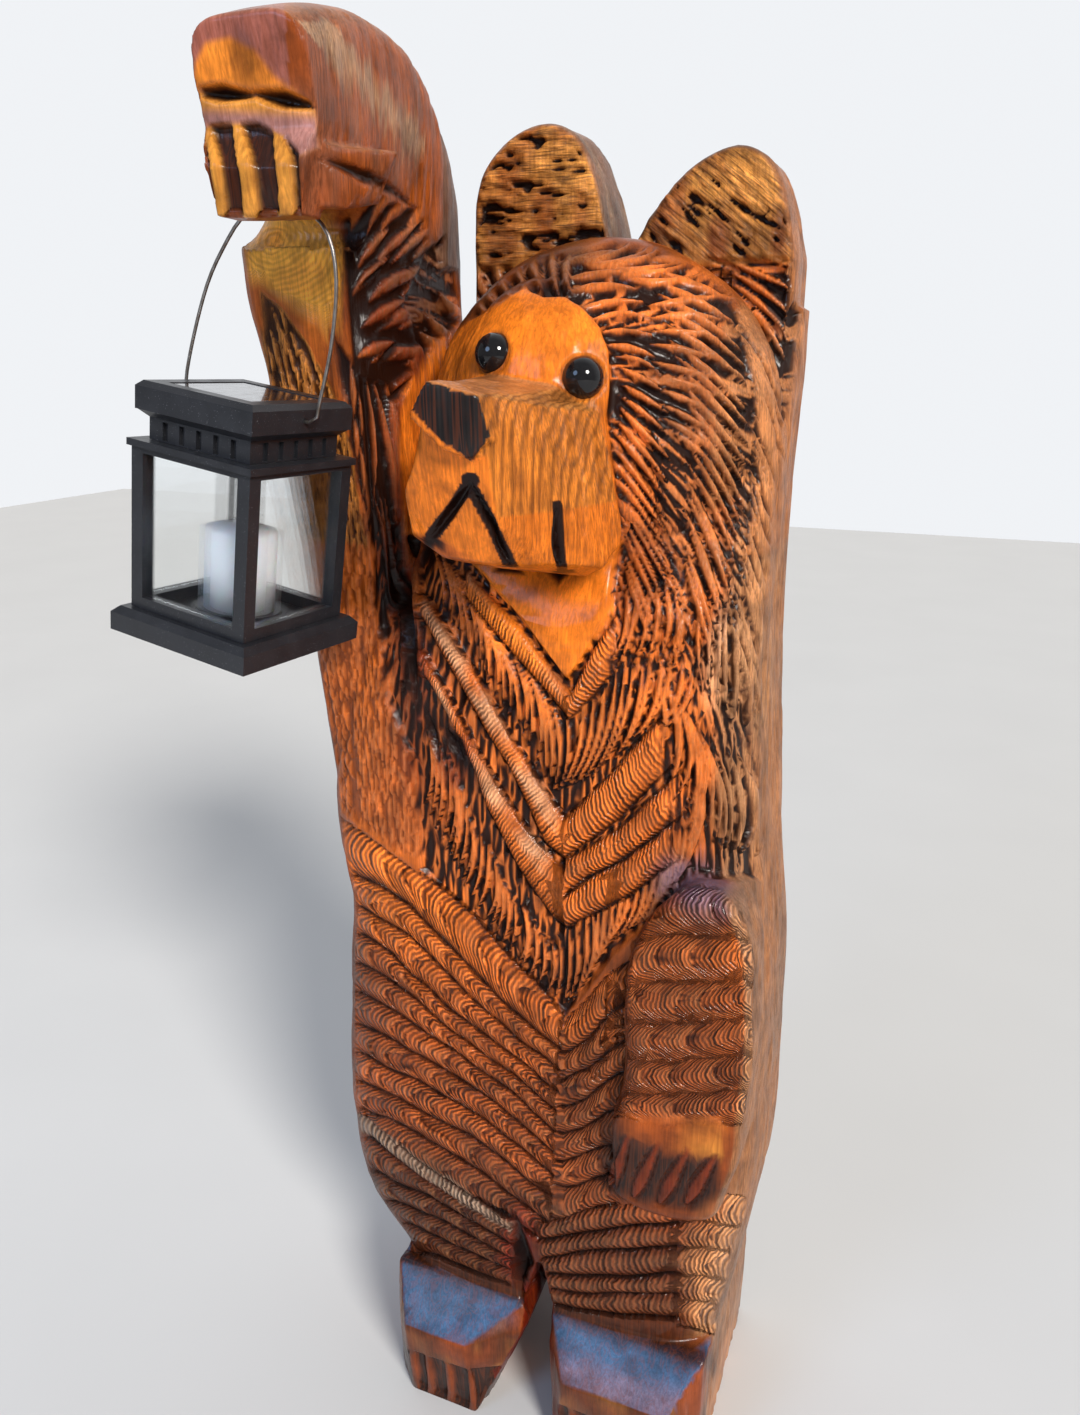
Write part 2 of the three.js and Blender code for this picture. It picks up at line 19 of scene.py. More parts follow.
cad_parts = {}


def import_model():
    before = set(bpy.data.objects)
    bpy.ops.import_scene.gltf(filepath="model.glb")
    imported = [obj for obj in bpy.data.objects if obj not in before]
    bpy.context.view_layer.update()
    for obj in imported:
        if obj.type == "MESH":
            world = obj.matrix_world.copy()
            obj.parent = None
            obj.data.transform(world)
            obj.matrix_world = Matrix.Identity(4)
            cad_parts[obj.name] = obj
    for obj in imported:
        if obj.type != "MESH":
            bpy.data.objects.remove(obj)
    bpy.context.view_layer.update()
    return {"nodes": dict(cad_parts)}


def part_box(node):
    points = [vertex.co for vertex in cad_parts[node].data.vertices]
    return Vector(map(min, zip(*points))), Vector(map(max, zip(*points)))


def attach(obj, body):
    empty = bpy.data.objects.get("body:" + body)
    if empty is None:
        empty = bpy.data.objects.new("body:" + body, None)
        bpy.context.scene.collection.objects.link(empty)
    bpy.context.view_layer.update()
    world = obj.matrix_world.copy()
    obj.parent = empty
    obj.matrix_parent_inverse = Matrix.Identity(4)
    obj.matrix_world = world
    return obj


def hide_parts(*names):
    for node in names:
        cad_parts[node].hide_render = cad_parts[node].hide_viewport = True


log = logging.getLogger("bear")

Array = np.ndarray
Colour = tuple[float, float, float]
Point = tuple[float, float]

MM = 0.001
MM_SCALE = Matrix.Scale(MM, 4)
ORIGIN_SHIFT = np.array([29.82, 96.67, 0.0])  # from the carving's frame to the part's frame, mm
STATION = np.array([320.0, -870.0, 1025.0])  # where the plate is looked at from, mm
PLATE_Y = -140.0  # where the plate stands, mm
BACK_Y = 84.0  # the back of the log, mm
SHORTEST_LOCK = 4.0  # a lock shorter than this is left out, mm
EYES = ((-16.0, 1025.0), (52.5, 1009.0))  # x and z of the eyes, mm


# ---------------------------------------------------------------- small maths


def smooth(low: float, high: float, value: Array) -> Array:
    """Rises smoothly from 0 at low to 1 at high.

    Args:
        low: where the rise starts.
        high: where it ends.
        value: the values to look at.

    Returns:
        An array between 0 and 1.
    """
    t = np.clip((value - low) / (high - low), 0.0, 1.0)
    return t * t * (3.0 - 2.0 * t)


def mix(a: Array, b: Array, share: Array) -> Array:
    """Blends a towards b by share, which may have one axis fewer.

    Args:
        a: the first value.
        b: the second value.
        share: 0 for a, 1 for b.

    Returns:
        The blend.
    """
    share = np.asarray(share)
    if np.ndim(a) > share.ndim:
        share = share[..., None]
    return a * (1.0 - share) + b * share


class Grain:
    """Smooth seeded noise in three dimensions."""

    def __init__(self, seed: int, side: int = 32) -> None:
        """Fills the lattice.

        Args:
            seed: for the random numbers.
            side: lattice points along each axis.
        """
        self.side = side
        self.lattice = np.random.default_rng(seed).random((side, side, side))

    def at(self, points: Array, size: tuple[float, float, float]) -> Array:
        """Noise from -1 to 1.

        Args:
            points: rows of x, y, z.
            size: the length of one lattice step along each axis.

        Returns:
            One value a row.
        """
        scaled = points / np.asarray(size)
        cell = np.floor(scaled).astype(int)
        t = scaled - cell
        t = t * t * (3.0 - 2.0 * t)
        total = np.zeros(len(points))
        for corner in range(8):
            step = np.array([corner & 1, corner >> 1 & 1, corner >> 2 & 1])
            weight = np.prod(np.where(step == 1, t, 1.0 - t), axis=1)
            i = (cell + step) % self.side
            total += weight * self.lattice[i[:, 0], i[:, 1], i[:, 2]]
        return total * 2.0 - 1.0


def on_plate(points: Array) -> tuple[Array, Array]:
    """Where the lines from the station through points meet the plate.

    Args:
        points: rows of x, y, z, mm.

    Returns:
        The plate's x and z.
    """
    reach = (PLATE_Y - STATION[1]) / (points[:, 1] - STATION[1])
    x = STATION[0] + (points[:, 0] - STATION[0]) * reach
    z = STATION[2] + (points[:, 2] - STATION[2]) * reach
    return x, z


def inside(x: Array, z: Array, outline: list[Point]) -> Array:
    """Tells which points lie inside a closed outline.

    Args:
        x: plate x.
        z: plate z.
        outline: the corners in order.

    Returns:
        A mask.
    """
    found = np.zeros(len(x), bool)
    previous = outline[-1]
    for corner in outline:
        (x0, z0), (x1, z1) = previous, corner
        if z0 != z1:
            crosses = (z < z0) != (z < z1)
            found ^= crosses & (x < x0 + (z - z0) * (x1 - x0) / (z1 - z0))
        previous = corner
    return found


def segment(x: Array, z: Array, start: Point, end: Point) -> tuple[Array, Array]:
    """Where points lie beside a straight line on the plate.

    Args:
        x: plate x.
        z: plate z.
        start: where the line starts.
        end: where it ends.

    Returns:
        The share of the line that is behind each point, 0 to 1, and the distance to the line, mm.
    """
    a, b = np.array(start, float), np.array(end, float)
    d = b - a
    t = np.clip(((x - a[0]) * d[0] + (z - a[1]) * d[1]) / max(d @ d, 1e-9), 0.0, 1.0)
    return t, np.hypot(x - a[0] - t * d[0], z - a[1] - t * d[1])


def edge_distance(x: Array, z: Array, outline: list[Point]) -> Array:
    """Distance to a closed outline, positive inside.

    Args:
        x: plate x.
        z: plate z.
        outline: the corners in order.

    Returns:
        Signed distances, mm.
    """
    best = np.full(len(x), 1e9)
    for start, end in zip([outline[-1], *outline], outline):
        best = np.minimum(best, segment(x, z, start, end)[1])
    return np.where(inside(x, z, outline), best, -best)


def lengths_along(line: Array) -> Array:
    """The length of a polyline up to each of its corners."""
    return np.concatenate([[0.0], np.cumsum(np.hypot(*np.diff(line, axis=0).T))])


def spline(points: Array, count: int) -> Array:
    """Points on a smooth curve through the given rows.

    Args:
        points: rows to pass through.
        count: how many points to give.

    Returns:
        Rows of the same width.
    """
    p = np.asarray(points, float)
    padded = np.vstack([2 * p[0] - p[1], p, 2 * p[-1] - p[-2]])
    at = np.linspace(0.0, len(p) - 1 - 1e-9, count)
    i = at.astype(int)
    t = (at - i)[:, None]
    a, b, c, d = (padded[i + k] for k in range(4))
    return 0.5 * (2 * b + (c - a) * t + (2 * a - 5 * b + 4 * c - d) * t**2 + (3 * b - a - 3 * c + d) * t**3)


# ---------------------------------------------------------------- rough forms


def linked(name: str, data: bpy.types.ID) -> bpy.types.Object:
    """Makes an object of the data and puts it in the scene.

    Args:
        name: its name.
        data: what it shows.

    Returns:
        The object.
    """
    made = bpy.data.objects.new(name, data)
    bpy.context.scene.collection.objects.link(made)
    return made


def as_object(name: str, vertices: Array, faces: list[list[int]]) -> bpy.types.Object:
    """Makes a linked mesh object.

    Args:
        name: its name.
        vertices: rows of x, y, z.
        faces: corner numbers of each face.

    Returns:
        The new object.
    """
    mesh = bpy.data.meshes.new(name)
    mesh.from_pydata([tuple(v) for v in vertices], [], faces)
    mesh.validate()
    return linked(name, mesh)


def loft(name: str, rings: Array) -> bpy.types.Object:
    """A closed skin over rings of points.

    Args:
        name: its name.
        rings: an array of ring, corner, xyz.

    Returns:
        The new object.
    """
    count, sides = rings.shape[:2]
    vertices = rings.reshape(-1, 3)
    faces = []
    for r in range(count - 1):
        for i in range(sides):
            a, b = r * sides + i, r * sides + (i + 1) % sides
            faces.append([a, b, b + sides, a + sides])
    faces.append(list(range(sides))[::-1])
    faces.append([(count - 1) * sides + i for i in range(sides)])
    return as_object(name, vertices, faces)


def slab(name: str, edge: Array, steps: tuple[Point, ...]) -> bpy.types.Object:
    """An upright slab with a given edge, drawn in a little at its rounded front and back.

    Args:
        name: its name.
        edge: x and z of its edge, one row a corner.
        steps: y of each ring and how far the ring is drawn in, mm.

    Returns:
        The new object.
    """
    away = edge - edge.mean(axis=0)
    away /= np.linalg.norm(away, axis=1)[:, None]
    return loft(name, np.array([np.insert(edge - away * shrink, 1, y, axis=1) for y, shrink in steps]))


def hull(name: str, corners: list[tuple[float, float, float]]) -> bpy.types.Object:
    """The convex solid round a handful of corners.

    Args:
        name: its name.
        corners: the corners, mm.

    Returns:
        The new object.
    """
    made = as_object(name, np.array(corners, float), [])
    bm = bmesh.new()
    bm.from_mesh(made.data)
    result = bmesh.ops.convex_hull(bm, input=bm.verts)
    spare = [e for e in result["geom_unused"] + result["geom_interior"] if isinstance(e, bmesh.types.BMVert)]
    bmesh.ops.delete(bm, geom=list(set(spare)), context="VERTS")
    bmesh.ops.recalc_face_normals(bm, faces=bm.faces)
    bm.to_mesh(made.data)
    bm.free()
    return made


def ball(name: str, centre: tuple[float, float, float], radii: tuple[float, float, float]) -> bpy.types.Object:
    """A closed ellipsoid.

    Args:
        name: its name.
        centre: its middle, mm.
        radii: its half axes, mm.

    Returns:
        The new object.
    """
    bm = bmesh.new()
    bmesh.ops.create_icosphere(bm, subdivisions=5, radius=1.0)
    mesh = bpy.data.meshes.new(name)
    bm.to_mesh(mesh)
    bm.free()
    for v in mesh.vertices:
        v.co = Vector([c + r * a for c, r, a in zip(centre, radii, v.co)])
    return linked(name, mesh)


def squarish(left: Array, right: Array, front: Array, back: Array, power: float, sides: int) -> Array:
    """Rings with rounded corners between a left, right, front and back limit.

    Args:
        left: lowest x of each ring.
        right: highest x of each ring.
        front: lowest y of each ring.
        back: highest y of each ring.
        power: how square the corners are.
        sides: corners a ring.

    Returns:
        An array of ring, corner, xy.
    """
    a = 2 * np.pi * (np.arange(sides) + 0.5) / sides
    bend = 2.0 / power
    cx = np.sign(np.cos(a)) * np.abs(np.cos(a)) ** bend
    cy = np.sign(np.sin(a)) * np.abs(np.sin(a)) ** bend
    x = ((left + right) / 2)[:, None] + ((right - left) / 2)[:, None] * cx
    y = ((front + back) / 2)[:, None] + ((back - front) / 2)[:, None] * cy
    return np.stack([x, y], axis=2)


def modified(made: bpy.types.Object, kind: str, **settings: object) -> bpy.types.Object:
    """Puts one modifier on an object and applies it.

    Args:
        made: the object, whose mesh is replaced.
        kind: the modifier's type.
        settings: the modifier's values.

    Returns:
        The same object.
    """
    modifier = made.modifiers.new(kind, kind)
    for key, value in settings.items():
        setattr(modifier, key, value)
    graph = bpy.context.evaluated_depsgraph_get()
    mesh = bpy.data.meshes.new_from_object(made.evaluated_get(graph))
    made.modifiers.clear()
    old = made.data
    made.data = mesh
    bpy.data.meshes.remove(old)
    return made


def coordinates(mesh: bpy.types.Mesh) -> Array:
    """The mesh's vertices as rows.

    Args:
        mesh: the mesh.

    Returns:
        An array.
    """
    co = np.empty(len(mesh.vertices) * 3)
    mesh.vertices.foreach_get("co", co)
    return co.reshape(-1, 3)


def vertex_normals(mesh: bpy.types.Mesh) -> Array:
    """The mesh's vertex normals as rows.

    Args:
        mesh: the mesh.

    Returns:
        An array.
    """
    normals = np.empty(len(mesh.vertices) * 3, np.float32)
    mesh.vertex_normals.foreach_get("vector", normals)
    return normals.reshape(-1, 3).astype(float)


# ---------------------------------------------------------------- the saw's cuts


class Stain(Enum):
    """Colours of the wood, linear, and a few that stand in for painted light."""

    BRIGHT = (0.94, 0.225, 0.016)
    ORANGE = (0.56, 0.12, 0.014)
    RUST = (0.27, 0.052, 0.010)
    BROWN = (0.115, 0.028, 0.009)
    UMBER = (0.035, 0.011, 0.005)
    RED = (0.12, 0.008, 0.003)
    TAN = (0.44, 0.19, 0.07)
    PALE = (0.58, 0.36, 0.20)
    GREY = (0.17, 0.12, 0.085)
    GOLD = (0.85, 0.34, 0.05)
    # partly painted light: an amber raised past the wood's own orange to make up for shade
    SUNLIT_AMBER = (0.95, 0.42, 0.05)
    ROSE = (0.40, 0.19, 0.20)
    COAL = (0.016, 0.013, 0.013)
    # painted reflection: slate blue that stands in for the sky's reflection in the varnish
    PAINTED_SKY_SHEEN = (0.05, 0.125, 0.25)


@dataclass(frozen=True)
class Stroke:
    """One pointed cut of the saw between two places on the plate.

    Attributes:
        start: where it starts, plate mm.
        end: where it ends, plate mm.
        width: at its widest, mm.
        depth: at its deepest, mm.
        bow: how far its middle stands off the straight line, mm, to the left of its direction.
        belly: where along it is widest, 0 to 1.
        lean: 0 for an even vee, towards 1 for a steep wall on the left of its direction.
    """

    start: Point
    end: Point
    width: float = 11.0
    depth: float = 7.0
    bow: float = 0.0
    belly: float = 0.5
    lean: float = 0.35

    @property
    def length(self) -> float:
        """From its start to its end, mm."""
        return float(np.hypot(self.end[0] - self.start[0], self.end[1] - self.start[1]))

    def measure(self, x: Array, z: Array, power: float) -> tuple[Array, Array, Array, Array]:
        """Finds the points near the stroke and their places in it.

        Args:
            x: plate x.
            z: plate z.
            power: the lower, the blunter its ends.

        Returns:
            The numbers of those points, the share of its length behind each, how wide it is there, 0 to 1,
            and how far each lies from its middle line, 1 at its edge.
        """
        a, b = np.array(self.start, float), np.array(self.end, float)
        ahead = (b - a) / self.length
        reach = self.width + abs(self.bow) + 2.0
        low, high = np.minimum(a, b) - reach, np.maximum(a, b) + reach
        near = np.flatnonzero((x > low[0]) & (x < high[0]) & (z > low[1]) & (z < high[1]))
        dx, dz = x[near] - a[0], z[near] - a[1]
        t = (dx * ahead[0] + dz * ahead[1]) / self.length
        side = dz * ahead[0] - dx * ahead[1] - self.bow * 4 * t * (1 - t)
        t = np.clip(t, 0.0, 1.0)
        swell = np.where(t < self.belly, t / self.belly, (1 - t) / (1 - self.belly)) ** power
        half = self.width / 2 * swell + 1e-6
        off = np.where(side > 0, side / (half * (1 - self.lean)), -side / (half * (1 + self.lean)))
        return near, t, swell, off


@dataclass
class Row:
    """Locks side by side, led by a few of them.

    Attributes:
        guides: root x, root z, tip x and tip z of the leading locks, in order.
        pitch: from one lock to the next, mm.
        width: of each, mm.
        bow: of each, mm.
        belly: where along each is widest.
        lean: of each.
        spread: random change of the ends, mm.
        lift: how high the locks stand among the others, 0 to 1.
    """

    guides: list[tuple[float, float, float, float]]
    pitch: float = 11.0
    width: float = 9.0
    bow: float = 4.0
    belly: float = 0.4
    lean: float = 0.25
    spread: float = 2.0
    lift: float = 1.0

    def strokes(self, dice: np.random.Generator) -> list[Stroke]:
        """The row's locks.

        Args:
            dice: for the random changes.

        Returns:
            One stroke for each lock.
        """
        led = np.array(self.guides, float)
        middle = (led[:, :2] + led[:, 2:]) / 2
        gone = lengths_along(middle)
        count = max(2, round(gone[-1] / self.pitch) + 1)
        at = np.linspace(0.0, gone[-1], count) + dice.normal(0, 0.1 * self.pitch, count)
        ends = np.stack([np.interp(at, gone, led[:, i]) for i in range(4)], axis=1)
        ends[:, :2] += dice.normal(0, self.spread * 0.5, (count, 2))
        ends[:, 2:] += dice.normal(0, self.spread, (count, 2))
        wide = self.width * dice.uniform(0.8, 1.2, count)
        bows = self.bow + dice.normal(0, 1.2, count)
        return [
            Stroke((e[0], e[1]), (e[2], e[3]), wide[i], self.lift, bows[i], self.belly, self.lean)
            for i, e in enumerate(ends)
        ]


@dataclass
class Thatch:
    """Plain locks that cover an area in staggered rows, under the led ones.

    Attributes:
        outline: the area on the plate.
        centre: the place the locks sweep away from.
        fall: how much they hang down, 0 to 1.
        length: of a lock, mm.
        width: of a lock, mm.
        lift: how high they stand, 0 to 1.
    """

    outline: list[Point]
    centre: Point
    fall: float = 0.5
    length: float = 46.0
    width: float = 9.0
    lift: float = 0.7

    def strokes(self, dice: np.random.Generator) -> list[Stroke]:
        """The locks, from the centre outwards.

        Args:
            dice: for the random changes.

        Returns:
            One stroke for each lock.
        """
        corners = np.array(self.outline, float)
        low, high = corners.min(axis=0), corners.max(axis=0)
        made = []
        for row, z in enumerate(np.arange(high[1], low[1], -self.length * 0.5)):
            for x in np.arange(low[0] + (row % 2) * self.width * 0.6, high[0], self.width * 1.25):
                root = np.array([x, z]) + dice.normal(0, 1.5, 2)
                if not inside(root[:1], root[1:], self.outline)[0]:
                    continue
                away = root - np.array(self.centre)
                away /= np.linalg.norm(away) + 1e-6
                way = away * (1.0 - self.fall) + np.array([0.0, -1.0]) * self.fall
                way /= np.linalg.norm(way) + 1e-6
                tip = root + way * self.length * dice.uniform(0.85, 1.15)
                bow = 3.0 if x > self.centre[0] else -3.0
                made.append(Stroke(tuple(root), tuple(tip), self.width * dice.uniform(0.8, 1.2), self.lift, bow))
        return made


@dataclass
class Rolls:
    """Rolls of fur between lines on the plate that run side by side.

    Attributes:
        lines: the creases from the highest down, each from low x to high x.
        height: of a roll over its creases, mm.
        low_x: the rolls' left limit at the top and the bottom line.
        high_x: the rolls' right limit at the top and the bottom line.
        pitch: from one chain mark to the next, mm.
        skew: how far a mark shifts along the roll from its upper to its lower edge, mm.
        curl: how far a mark's middle bulges along the roll, mm.
        fade: length over which a roll dies out at its left and right end, mm.
        scale: length of the scales that a roll is broken into, mm, or 0.
        step: how far a scale's free edge stands over the next one, mm.
        crease_shade: how dark the painted shade in the creases is, 0 to 1.
        plain: how plain the upper half stays, 0 to 1.
    """

    lines: list[list[Point]]
    height: float = 7.0
    low_x: Point = (-300.0, -300.0)
    high_x: Point = (300.0, 300.0)
    pitch: float = 4.6
    skew: float = 0.0
    curl: float = 5.0
    fade: Point = (10.0, 5.0)
    scale: float = 0.0
    step: float = 2.5
    crease_shade: float = 0.9
    plain: float = 0.0


@dataclass
class Skin:
    """What is worked out for every vertex of the bear.

    Attributes:
        points: the uncarved surface, mm.
        normals: its smooth normals.
    """

    points: Array
    normals: Array
    plate_x: Array = field(init=False)
    plate_z: Array = field(init=False)
    facing: Array = field(init=False)
    height: Array = field(init=False)
    groove: Array = field(init=False)
    crest: Array = field(init=False)
    along: Array = field(init=False)
    rolled: Array = field(init=False)
    fibre: Array = field(init=False)
    tint: Array = field(init=False)
    gloss: Array = field(init=False)
    streak: Array = field(init=False)
    drift: Array = field(init=False)
    ear: Array = field(init=False)
    ear_across: Array = field(init=False)
    ear_along: Array = field(init=False)
    claw: Array = field(init=False)
    low_claw: Array = field(init=False)
    claw_ground: Array = field(init=False)

    def __post_init__(self) -> None:
        """Starts every value off."""
        count = len(self.points)
        self.plate_x, self.plate_z = on_plate(self.points)
        to_station = STATION - self.points
        to_station /= np.linalg.norm(to_station, axis=1)[:, None]
        self.facing = np.einsum("ij,ij->i", self.normals, to_station)
        for name in ("height", "groove", "crest", "along", "rolled", "fibre", "streak"):
            setattr(self, name, np.zeros(count))
        self.drift = Grain(21).at(self.points, (34, 34, 26))
        self.gloss = np.full(count, 0.5)
        self.tint = np.zeros((count, 3))

    @property
    def seen(self) -> Array:
        """Tells which vertices face the station."""
        return self.facing > 0

    def within(self, outline: list[Point], low: float, high: float) -> Array:
        """Rises from 0 to 1 between two distances inside an outline on the plate."""
        return smooth(low, high, edge_distance(self.plate_x, self.plate_z, outline))

    def cut(self, stroke: Stroke, allowed: Array) -> None:
        """Takes one stroke out of the surface.

        Args:
            stroke: the cut.
            allowed: how much each vertex may be cut, 0 to 1.
        """
        wanted = np.flatnonzero(allowed > 0.01)
        near, t, rise, off = stroke.measure(self.plate_x[wanted], self.plate_z[wanted], 0.5)
        near = wanted[near]
        shape = np.clip(1.0 - off, 0.0, 1.0)
        ends = (t > 0) & (t < 1)
        depth = stroke.depth * rise * shape * ends * allowed[near]
        self.height[near] = np.minimum(self.height[near], -depth)
        strength = np.clip(shape * 1.25, 0, 1) * rise * ends * allowed[near] * min(1.0, stroke.depth / 6.0)
        self.groove[near] = np.maximum(self.groove[near], strength)

    def lay_fur(
        self, strokes: list[Stroke], outline: list[Point], depth: float, allowed: Array, dark: float = 1.0
    ) -> None:
        """Leaves overlapping locks standing on sunk, scorched ground.

        Args:
            strokes: the locks, whose depth is how high each stands, 0 to 1.
            outline: the ground on the plate.
            depth: how deep the ground is sunk, mm.
            allowed: how much each vertex may be changed, 0 to 1.
            dark: how scorched the ground is, 0 to 1.
        """
        ground = self.within(outline, -2.0, 5.0) * allowed
        wanted = np.flatnonzero(ground > 0.01)
        x, z = self.plate_x[wanted], self.plate_z[wanted]
        level, rise, run_on = (np.zeros(len(x)) for _ in range(3))
        for stroke in strokes:
            if stroke.length < SHORTEST_LOCK:
                continue
            near, t, taper, off = stroke.measure(x, z, 0.6)
            crest = np.clip(1.0 - off * off, 0.0, 1.0) * taper**0.3 * ((t > 0) & (t < 1))
            stands = crest * stroke.depth * (0.5 + 0.5 * np.clip(t * 1.6, 0, 1))
            better = stands > level[near]
            hit = near[better]
            level[hit] = stands[better]
            rise[hit] = crest[better]
            run_on[hit] = t[better] * stroke.length
        share = ground[wanted]
        self.height[wanted] = mix(self.height[wanted], -depth * (1.0 - level), share)
        self.groove[wanted] = mix(self.groove[wanted], np.clip(1.1 - rise * 1.25, 0, 1) * dark, share)
        self.crest[wanted] = mix(self.crest[wanted], np.clip(rise * 1.7 - 0.7, 0, 1), share)
        self.along[wanted] = np.where(share > 0.3, run_on / 3.4, self.along[wanted])
        self.rolled[wanted] = mix(self.rolled[wanted], np.full(len(share), 0.06), share)

    def roll(self, rolls: Rolls, allowed: Array) -> None:
        """Lays rolls of fur on the surface.

        Args:
            rolls: where they run.
            allowed: how much each vertex may be changed, 0 to 1.
        """
        x, z = self.plate_x, self.plate_z + 3.0 * self.drift
        levels = []
        lengths = []
        for line in rolls.lines:
            corners = np.asarray(line, float)
            levels.append(np.interp(x, corners[:, 0], corners[:, 1]))
            lengths.append(np.interp(x, corners[:, 0], lengths_along(corners)))
        for k in range(len(levels) - 1):
            top, low = levels[k], levels[k + 1]
            down = (k + 0.5) / (len(levels) - 1)
            left = rolls.low_x[0] + (rolls.low_x[1] - rolls.low_x[0]) * down
            right = rolls.high_x[0] + (rolls.high_x[1] - rolls.high_x[0]) * down
            pick = (z <= top) & (z > low) & (x > left) & (x < right) & (allowed > 0.02)
            if not pick.any():
                continue
            drift = self.drift[pick]
            across = (top[pick] - z[pick]) / np.maximum(top[pick] - low[pick], 1e-6)
            ends = smooth(0.0, rolls.fade[0], x[pick] - left) * smooth(0.0, rolls.fade[1], right - x[pick])
            amount = allowed[pick] * ends
            shape = np.clip(np.sin(np.pi * across**0.8), 0, 1) ** 0.55
            thick = np.minimum((top[pick] - low[pick]) * 0.32, rolls.height)
            relief = (shape - 1.0) * thick
            # painted shade: the creases between rolls are darkened where the rolls would shade them
            crease_shade = np.clip(1.0 - shape * 1.25, 0, 1) * np.clip(thick / 5.0, 0, 1) * rolls.crease_shade
            # the roll's top is lightened in the material, wear and partly a painted highlight
            worn = smooth(0.7, 1.0, shape) * 0.5
            run = mix(lengths[k][pick], lengths[k + 1][pick], across)
            run = run + rolls.skew * across + rolls.curl * 4 * across * (1 - across) + 37.0 * k
            if rolls.scale:
                part = run / rolls.scale + 0.8 * drift + 0.37 * k
                saw = part - np.floor(part)
                relief += rolls.step * (saw - 1.0) * shape
                # painted shade under each scale's free edge
                crease_shade = np.maximum(crease_shade, (1.0 - smooth(0.0, 0.11, saw)) * 0.6 * shape)
                worn = worn * saw + 0.4 * smooth(0.7, 0.98, saw)
            self.height[pick] = mix(self.height[pick], relief, amount)
            self.along[pick] = run / rolls.pitch
            marked = 1.0 - rolls.plain * (1.0 - smooth(0.15, 0.6, across))
            self.rolled[pick] = mix(self.rolled[pick], marked, amount)
            self.groove[pick] = mix(self.groove[pick], crease_shade, amount)
            self.crest[pick] = mix(self.crest[pick], worn, amount)

    def paint(self, stain: Stain, share: Array, gloss: float | None = None) -> None:
        """Blends a stain in.

        Args:
            stain: the colour.
            share: 0 to 1 for each vertex.
            gloss: also blends the gloss towards this.
        """
        self.tint = mix(self.tint, np.array(stain.value), share)
        if gloss is not None:
            self.gloss = mix(self.gloss, np.full(len(self.gloss), gloss), share)


# ---------------------------------------------------------------- the bear


